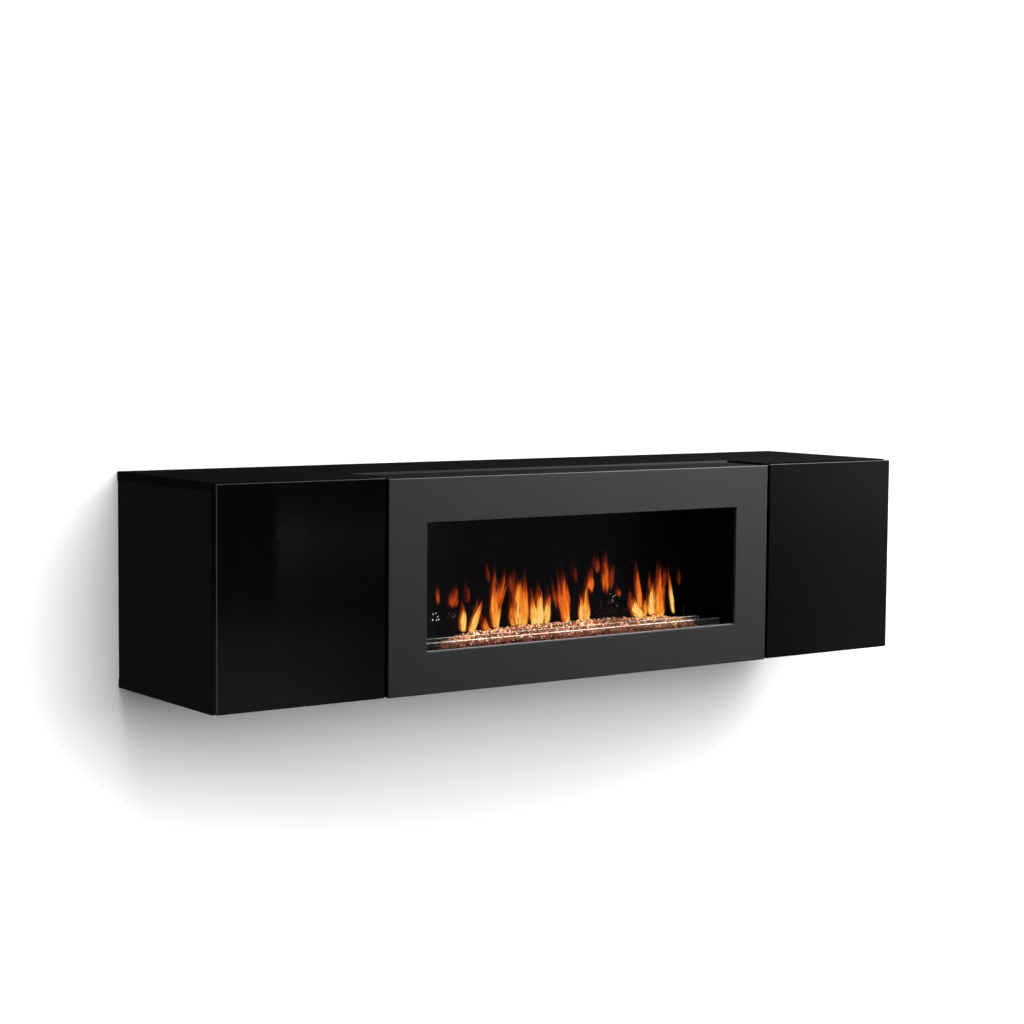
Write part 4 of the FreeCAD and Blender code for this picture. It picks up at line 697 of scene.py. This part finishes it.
def make_sparks():
    """Small bright motes and thin glowing threads above the bed, placed in millimetres."""
    rng = random.Random(5)
    vertices, faces, tones = [], [], []
    motes = [(-337 + 6.2 * (k % 7) + rng.uniform(-1.8, 1.8), 127 + 5.2 * (k // 7) + rng.uniform(-1.6, 1.6),
              rng.uniform(1.2, 1.6), rng.uniform(0.75, 1.0)) for k in range(21) if rng.random() < 0.68]
    motes += [(rng.uniform(-284, -262), rng.uniform(127, 141), rng.uniform(0.6, 0.9), rng.uniform(0.1, 0.3))
              for _ in range(9)]
    motes += [(rng.gauss(108, 9), rng.gauss(139, 6), rng.uniform(0.6, 1.0), rng.uniform(0.4, 0.9))
              for _ in range(9)]
    corners, triangles = OCTAHEDRON
    for x, height, size, bright in motes:
        centre = Vector((x * MM, MOTE_Y - rng.uniform(0, 0.006), UNDERSIDE + height * MM))
        first = len(vertices)
        vertices += [centre + Vector(corner) * size * MM for corner in corners]
        faces += [[first + k for k in triangle] for triangle in triangles]
        tones += [(0.15 if x < 0 else rng.uniform(0.1, 0.6), bright, 0.0)] * len(corners)
    links, half = 10, 0.3 * MM
    for number in range(6):
        foot, height = 70 + 11 * number + rng.uniform(-3, 3), rng.uniform(106, 112)
        lean, rise, bend = rng.uniform(12, 26), rng.uniform(10, 30), rng.uniform(3, 7)
        first = len(vertices)
        for step in range(links + 1):
            share = step / links
            x = (foot + lean * share + bend * math.sin(math.pi * share)) * MM
            z = UNDERSIDE + (height + rise * share ** 0.8) * MM
            vertices += [Vector((x - half, THREAD_Y, z)), Vector((x + half, THREAD_Y, z))]
        starts = [first + 2 * k for k in range(links)]
        faces += [[a, a + 1, a + 3, a + 2] for a in starts]
        tones += [(0.9, rng.uniform(0.03, 0.07), 0.0)] * (2 * links + 2)
    finish = Finish("spark")
    warm, bright, _ = finish.point_value("tone")
    finish.set(Base_Color=(0.02, 0.01, 0.01, 1), Roughness=0.8,
               Emission_Color=finish.ramp(warm, [(0.1, (1.0, 0.9, 0.84)), (0.8, (1.0, 0.45, 0.2))]),
               Emission_Strength=finish.math("MULTIPLY", bright, 1.6))
    item = piece("sparks", vertices, faces, finish.material, "cabinet")
    point_colours(item, "tone", tones)


# ---------------------------------------------------------------- small hardware

SCREW_SIDES = 24
# Share of the radius and of the height.
SCREW_RINGS = ((1.0, 0.0), (1.0, 0.25), (0.93, 0.55), (0.74, 0.82), (0.42, 0.97))
RECESS_RIM = SCREW_RINGS[-1][1]


def screw_shape(radius, height, axis, centre, turn):
    """A pan-head screw with a cross recess, its head standing along the axis."""
    form = bmesh.new()
    corners = [(math.cos(k * math.tau / SCREW_SIDES), math.sin(k * math.tau / SCREW_SIDES))
               for k in range(SCREW_SIDES)]
    loops = [[form.verts.new((radius * share * x, radius * share * y, height * lift)) for x, y in corners]
             for share, lift in SCREW_RINGS]
    for lower, upper in zip(loops, loops[1:]):
        for k in range(SCREW_SIDES):
            after = (k + 1) % SCREW_SIDES
            form.faces.new((lower[k], lower[after], upper[after], upper[k]))
    arm, wide, deep = radius * 0.36, radius * 0.09, height * 0.45
    outline = [(arm, -wide), (arm, wide), (wide, wide), (wide, arm), (-wide, arm), (-wide, wide),
               (-arm, wide), (-arm, -wide), (-wide, -wide), (-wide, -arm), (wide, -arm), (wide, -wide)]
    face = height * RECESS_RIM
    rim = [form.verts.new((x, y, face)) for x, y in outline]
    recess = [form.verts.new((x * 0.8, y * 0.8, face - deep)) for x, y in outline]
    for k in range(len(outline)):
        after = (k + 1) % len(outline)
        form.faces.new((rim[k], rim[after], recess[after], recess[k]))
    form.faces.new(recess)
    edges = [e for e in form.edges if e.is_boundary and all(abs(v.co.z - face) < 1e-9 for v in e.verts)]
    bmesh.ops.triangle_fill(form, use_beauty=True, edges=edges)
    form.faces.new(list(reversed(loops[0])))
    bmesh.ops.recalc_face_normals(form, faces=form.faces[:])
    upright = Vector((0, 0, 1)).rotation_difference(Vector(axis)).to_matrix().to_4x4()
    form.transform(Matrix.Translation(Vector(centre)) @ upright @ Matrix.Rotation(turn, 4, "Z"))
    form.verts.index_update()
    return lists(form)


def screws(name, places, body):
    """One piece of equal screws, each (centre, axis, radius, height)."""
    rng = random.Random(len(places))
    vertices, faces = [], []
    for centre, axis, radius, height in places:
        shape, sides = screw_shape(radius, height, axis, centre, rng.uniform(0, math.tau))
        first = len(vertices)
        vertices += shape
        faces += [[first + k for k in side] for side in sides]
    piece(name, vertices, faces, FINISHES["zinc_steel"].material, body)


def make_hardware():
    """Screws on the hinge plates, the clear lip on the acrylic strip and the sill below the window."""
    plates_low, plates_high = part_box("hinge_plates")
    hinge_heights = (plates_low.z + 24 * MM, plates_high.z - 24 * MM)
    plate_face = plates_high.x - 2 * MM
    middle_y = (plates_low.y + plates_high.y) / 2
    places = [((side * plate_face, middle_y, height + offset * MM), (-side, 0, 0), 3.6 * MM, 1.6 * MM)
              for side in (-1, 1) for height in hinge_heights for offset in (-16, 16)]
    screws("hinge_plate_screws", places, "cabinet")
    # The clear lip carries a painted glowing line along its top edge.
    bevelled_bar("acrylic_lip", (STRIP_LOW.x, STRIP_LOW.y + 0.2 * MM, STRIP_HIGH.z - 0.1 * MM),
                 (300 * MM, STRIP_LOW.y + 2 * MM, LIP_TOP),
                 FINISHES["clear_acrylic"].material, "cabinet", 0.3 * MM)
    sill_low = (-WINDOW_HALF + 0.4 * MM, FRAME_LOW.y + 0.6 * MM, WINDOW_FOOT + 0.1 * MM)
    sill_high = (WINDOW_HALF - 0.4 * MM, FRAME_LOW.y + 6.6 * MM, WINDOW_FOOT + 1.6 * MM)
    bevelled_bar("window_sill", sill_low, sill_high,
                 FINISHES["trim"].material, "cabinet", 0.4 * MM)


# ---------------------------------------------------------------- studio

def stage_plane(name, corners, colour, rim=0.0):
    """A one-sided sheet of the studio: see-through from behind, so that it hides nothing in other views."""
    mesh = bpy.data.meshes.new(name)
    mesh.from_pydata(corners, [], [list(range(len(corners)))])
    finish = Finish(name)
    tone = finish.ramp(finish.noise(0.8, 2.0), [(0.2, tuple(c * 0.985 for c in colour)), (0.8, colour)])
    finish.set(Base_Color=tone, Roughness=0.95, Specular_IOR_Level=0.0)
    if rim:
        away = finish.add("ShaderNodeVectorMath", operation="LENGTH")
        finish.feed(away.inputs[0], finish.moved((0.8, 1, 1.25), (0, 0, 0.12)))
        finish.set(Emission_Color=(*colour, 1),
                   Emission_Strength=finish.span(away.outputs["Value"], 0.62, 1.15, 0.0, rim, smooth=True))
    back = finish.add("ShaderNodeNewGeometry").outputs["Backfacing"]
    clear = finish.add("ShaderNodeBsdfTransparent")
    blend = finish.add("ShaderNodeMixShader")
    output = next(n for n in finish.tree.nodes if n.type == "OUTPUT_MATERIAL")
    finish.feed(blend.inputs["Fac"], back)
    finish.tree.links.new(finish.shader.outputs[0], blend.inputs[1])
    finish.tree.links.new(clear.outputs[0], blend.inputs[2])
    finish.tree.links.new(blend.outputs[0], output.inputs["Surface"])
    mesh.materials.append(finish.material)
    item = bpy.data.objects.new(name, mesh)
    bpy.context.scene.collection.objects.link(item)
    return item


def linked_group(name, items, state):
    """A collection that a lamp's light is limited to, or kept off."""
    group = bpy.data.collections.new(name)
    for item in items:
        group.objects.link(item)
    for entry in group.collection_objects:
        entry.light_linking.link_state = state
    return group


def area_light(name, azimuth, elevation, distance, size, power, target, receivers, glossy=True):
    """A soft box at an azimuth measured from -Y towards +X, turned to the target."""
    lamp = bpy.data.lights.new(name, "AREA")
    lamp.shape = "SQUARE"
    lamp.size = size
    lamp.energy = power
    item = bpy.data.objects.new(name, lamp)
    bpy.context.scene.collection.objects.link(item)
    azimuth, elevation = math.radians(azimuth), math.radians(elevation)
    level = math.cos(elevation)
    away = Vector((math.sin(azimuth) * level, -math.cos(azimuth) * level, math.sin(elevation)))
    item.location = Vector(target) + away * distance
    item.rotation_euler = away.to_track_quat("Z", "Y").to_euler()
    item.visible_camera = False
    item.visible_glossy = glossy
    item.light_linking.receiver_collection = receivers


def make_world():
    """A dim studio: darkest straight ahead, with a pale soft wall far to the right."""
    world = bpy.data.worlds.new("studio")
    bpy.context.scene.world = world
    world.use_nodes = True
    tree = world.node_tree
    background = next(n for n in tree.nodes if n.type == "BACKGROUND")
    split = tree.nodes.new("ShaderNodeSeparateXYZ")
    tree.links.new(tree.nodes.new("ShaderNodeTexCoord").outputs["Generated"], split.inputs[0])

    def calculate(operation, first, second):
        node = tree.nodes.new("ShaderNodeMath")
        node.operation = operation
        for socket, value in zip(node.inputs, (first, second)):
            if isinstance(value, bpy.types.NodeSocket):
                tree.links.new(value, socket)
            else:
                socket.default_value = value
        return node.outputs[0]

    def ramp(value, stops):
        node = tree.nodes.new("ShaderNodeValToRGB")
        while len(node.color_ramp.elements) < len(stops):
            node.color_ramp.elements.new(0.5)
        for element, (position, tone) in zip(node.color_ramp.elements, stops):
            element.position = position
            element.color = (tone, tone, tone, 1)
        tree.links.new(value, node.inputs["Fac"])
        return node.outputs["Color"]

    azimuth = calculate("ARCTAN2", split.outputs["X"], calculate("MULTIPLY", split.outputs["Y"], -1.0))
    turn = calculate("MULTIPLY_ADD", azimuth, 1 / math.tau)
    turn.node.inputs[2].default_value = 0.5
    height = calculate("MULTIPLY_ADD", split.outputs["Z"], 0.5)
    height.node.inputs[2].default_value = 0.5

    def window(value, low, high):
        """The value between two limits as 0..1, so that a ramp's steps fall finely there."""
        node = tree.nodes.new("ShaderNodeMapRange")
        for socket, item in zip(node.inputs, (value, low, high)):
            if isinstance(item, bpy.types.NodeSocket):
                tree.links.new(item, socket)
            else:
                socket.default_value = item
        return node.outputs["Result"]

    near = window(azimuth, *(math.radians(degrees) for degrees in NEAR_AZIMUTHS))
    lowest, highest = (math.sin(math.radians(degrees)) for degrees in NEAR_ELEVATIONS)
    low = window(split.outputs["Z"], lowest, highest)

    def around(stops):
        start, end = NEAR_AZIMUTHS
        return ramp(near, [((degrees - start) / (end - start), tone) for degrees, tone in stops])

    def upward(stops):
        return ramp(low, [((math.sin(math.radians(degrees)) - lowest) / (highest - lowest), tone)
                          for degrees, tone in stops])

    whole = ramp(turn, [(degrees / 360 + 0.5, tone) for degrees, tone in WHOLE_TURN])
    left = calculate("MULTIPLY", around(LEFT_AZIMUTHS), upward(LEFT_ELEVATIONS))
    band = calculate("MULTIPLY", around(BAND_AZIMUTHS), upward(BAND_ELEVATIONS))
    right = calculate("MULTIPLY", around(RIGHT_AZIMUTHS), upward(RIGHT_ELEVATIONS))
    total = calculate("MULTIPLY", calculate("ADD", calculate("ADD", left, band), right), whole)
    tree.links.new(total, background.inputs["Color"])
    background.inputs["Strength"].default_value = 1.0


# Brightness of the surroundings by degrees from -Y towards +X, and by degrees above the horizon.
# The left door mirrors the left part with its narrow upright band, the right door the right part, and
# the glass the gap between.
NEAR_AZIMUTHS, NEAR_ELEVATIONS = (24, 48), (-15, 15)
LEFT_AZIMUTHS = [(24, 1.0), (29.6, 0.98), (30.2, 0.84), (31.2, 0.72), (32.0, 0.5), (33.0, 0.32),
                 (34.2, 0.05), (35.5, 0.0)]
LEFT_ELEVATIONS = [(-15, 0.10), (-11.5, 0.22), (-9.3, 0.20), (-7.9, 0.138), (-6.9, 0.046),
                   (-6.1, 0.028), (-5.2, 0.020), (-4.2, 0.010), (0, 0.02), (15, 0.05)]
BAND_AZIMUTHS = [(29.58, 0.0), (29.72, 1.0), (30.2, 0.95), (30.5, 0.62), (31.6, 0.42), (33.4, 0.30),
                 (34.4, 0.0)]
BAND_ELEVATIONS = [(-9.8, 0.03), (-8.4, 0.0), (-7.2, 0.006), (-6.2, 0.060), (-5.2, 0.150),
                   (-4.5, 0.06), (-3.9, 0.02), (0, 0.0)]
RIGHT_AZIMUTHS = [(41.6, 0.0), (42.1, 0.46), (43.6, 0.76), (45.2, 1.0), (48, 1.05)]
RIGHT_ELEVATIONS = [(-15, 0.08), (-11.5, 0.17), (-9.5, 0.165), (-7.6, 0.15), (-6.2, 0.165),
                    (-5.2, 0.188), (-3.6, 0.32), (5, 0.34), (15, 0.12)]
WHOLE_TURN = [(-180, 0.1), (-120, 0.4), (-90, 1.0), (60, 1.0), (90, 0.6), (150, 0.12), (180, 0.1)]


def make_studio():
    """A pale wall behind the object, a floor below it, and lamps for each of them and for the object."""
    wall_y, floor_z = CAD_BOX[1][1] + 1.2 * MM, UNDERSIDE - 1.25
    wall_corners = [(-9, wall_y, floor_z), (9, wall_y, floor_z), (9, wall_y, 7), (-9, wall_y, 7)]
    floor_corners = [(-5, -4, floor_z), (5, -4, floor_z), (5, wall_y, floor_z), (-5, wall_y, floor_z)]
    surfaces = [stage_plane("wall", wall_corners, (0.93, 0.93, 0.93), rim=0.45),
                stage_plane("floor", floor_corners, (0.80, 0.80, 0.79))]
    for surface in surfaces:
        surface.visible_diffuse = False
        surface.visible_glossy = False
        surface.visible_transmission = False
        surface.visible_shadow = False
    make_world()
    backdrop = linked_group("lit_backdrop", surfaces, "INCLUDE")
    product = linked_group("unlit_backdrop", surfaces, "EXCLUDE")
    area_light("wall_key", 5, 27, 4.2, 4.1, 316, (0.2, 0, -0.2), backdrop)
    area_light("wall_fill", -38, 8, 5.5, 5.0, 62, (0, 0, -0.2), backdrop, glossy=False)
    area_light("key", 44, 56, 1.45, 0.8, 77, (0.35, -0.38, 0.0), product)
    area_light("fill", -30, 30, 4.5, 3.0, 4, (0, -0.38, -0.15), product, glossy=False)
    area_light("side_fill", -95, 10, 3.0, 1.5, 84, (-0.8, -0.2, -0.15), product, glossy=False)
    area_light("rear_fill", 196, 14, 4.0, 3.0, 90, (0, 0, -0.15), product, glossy=False)
    area_light("below_fill", 180, -70, 2.5, 1.2, 90, (0, -0.18, -0.35), product, glossy=False)
    scene = bpy.context.scene
    scene.view_settings.view_transform = "Standard"
    scene.view_settings.look = "None"


def make_camera():
    camera = bpy.data.cameras.new("camera")
    camera.lens, camera.sensor_width = 77.909, 36
    item = bpy.data.objects.new("camera", camera)
    bpy.context.scene.collection.objects.link(item)
    item.location = (-2.5775, -3.7121, 0.3058)
    item.rotation_euler = [math.radians(angle) for angle in (85.485, -0.4607, -35.675)]
    bpy.context.scene.camera = item


paint_nodes()
make_ember_core()
make_crystals()
make_flames()
make_sparks()
make_hardware()
make_studio()
make_camera()
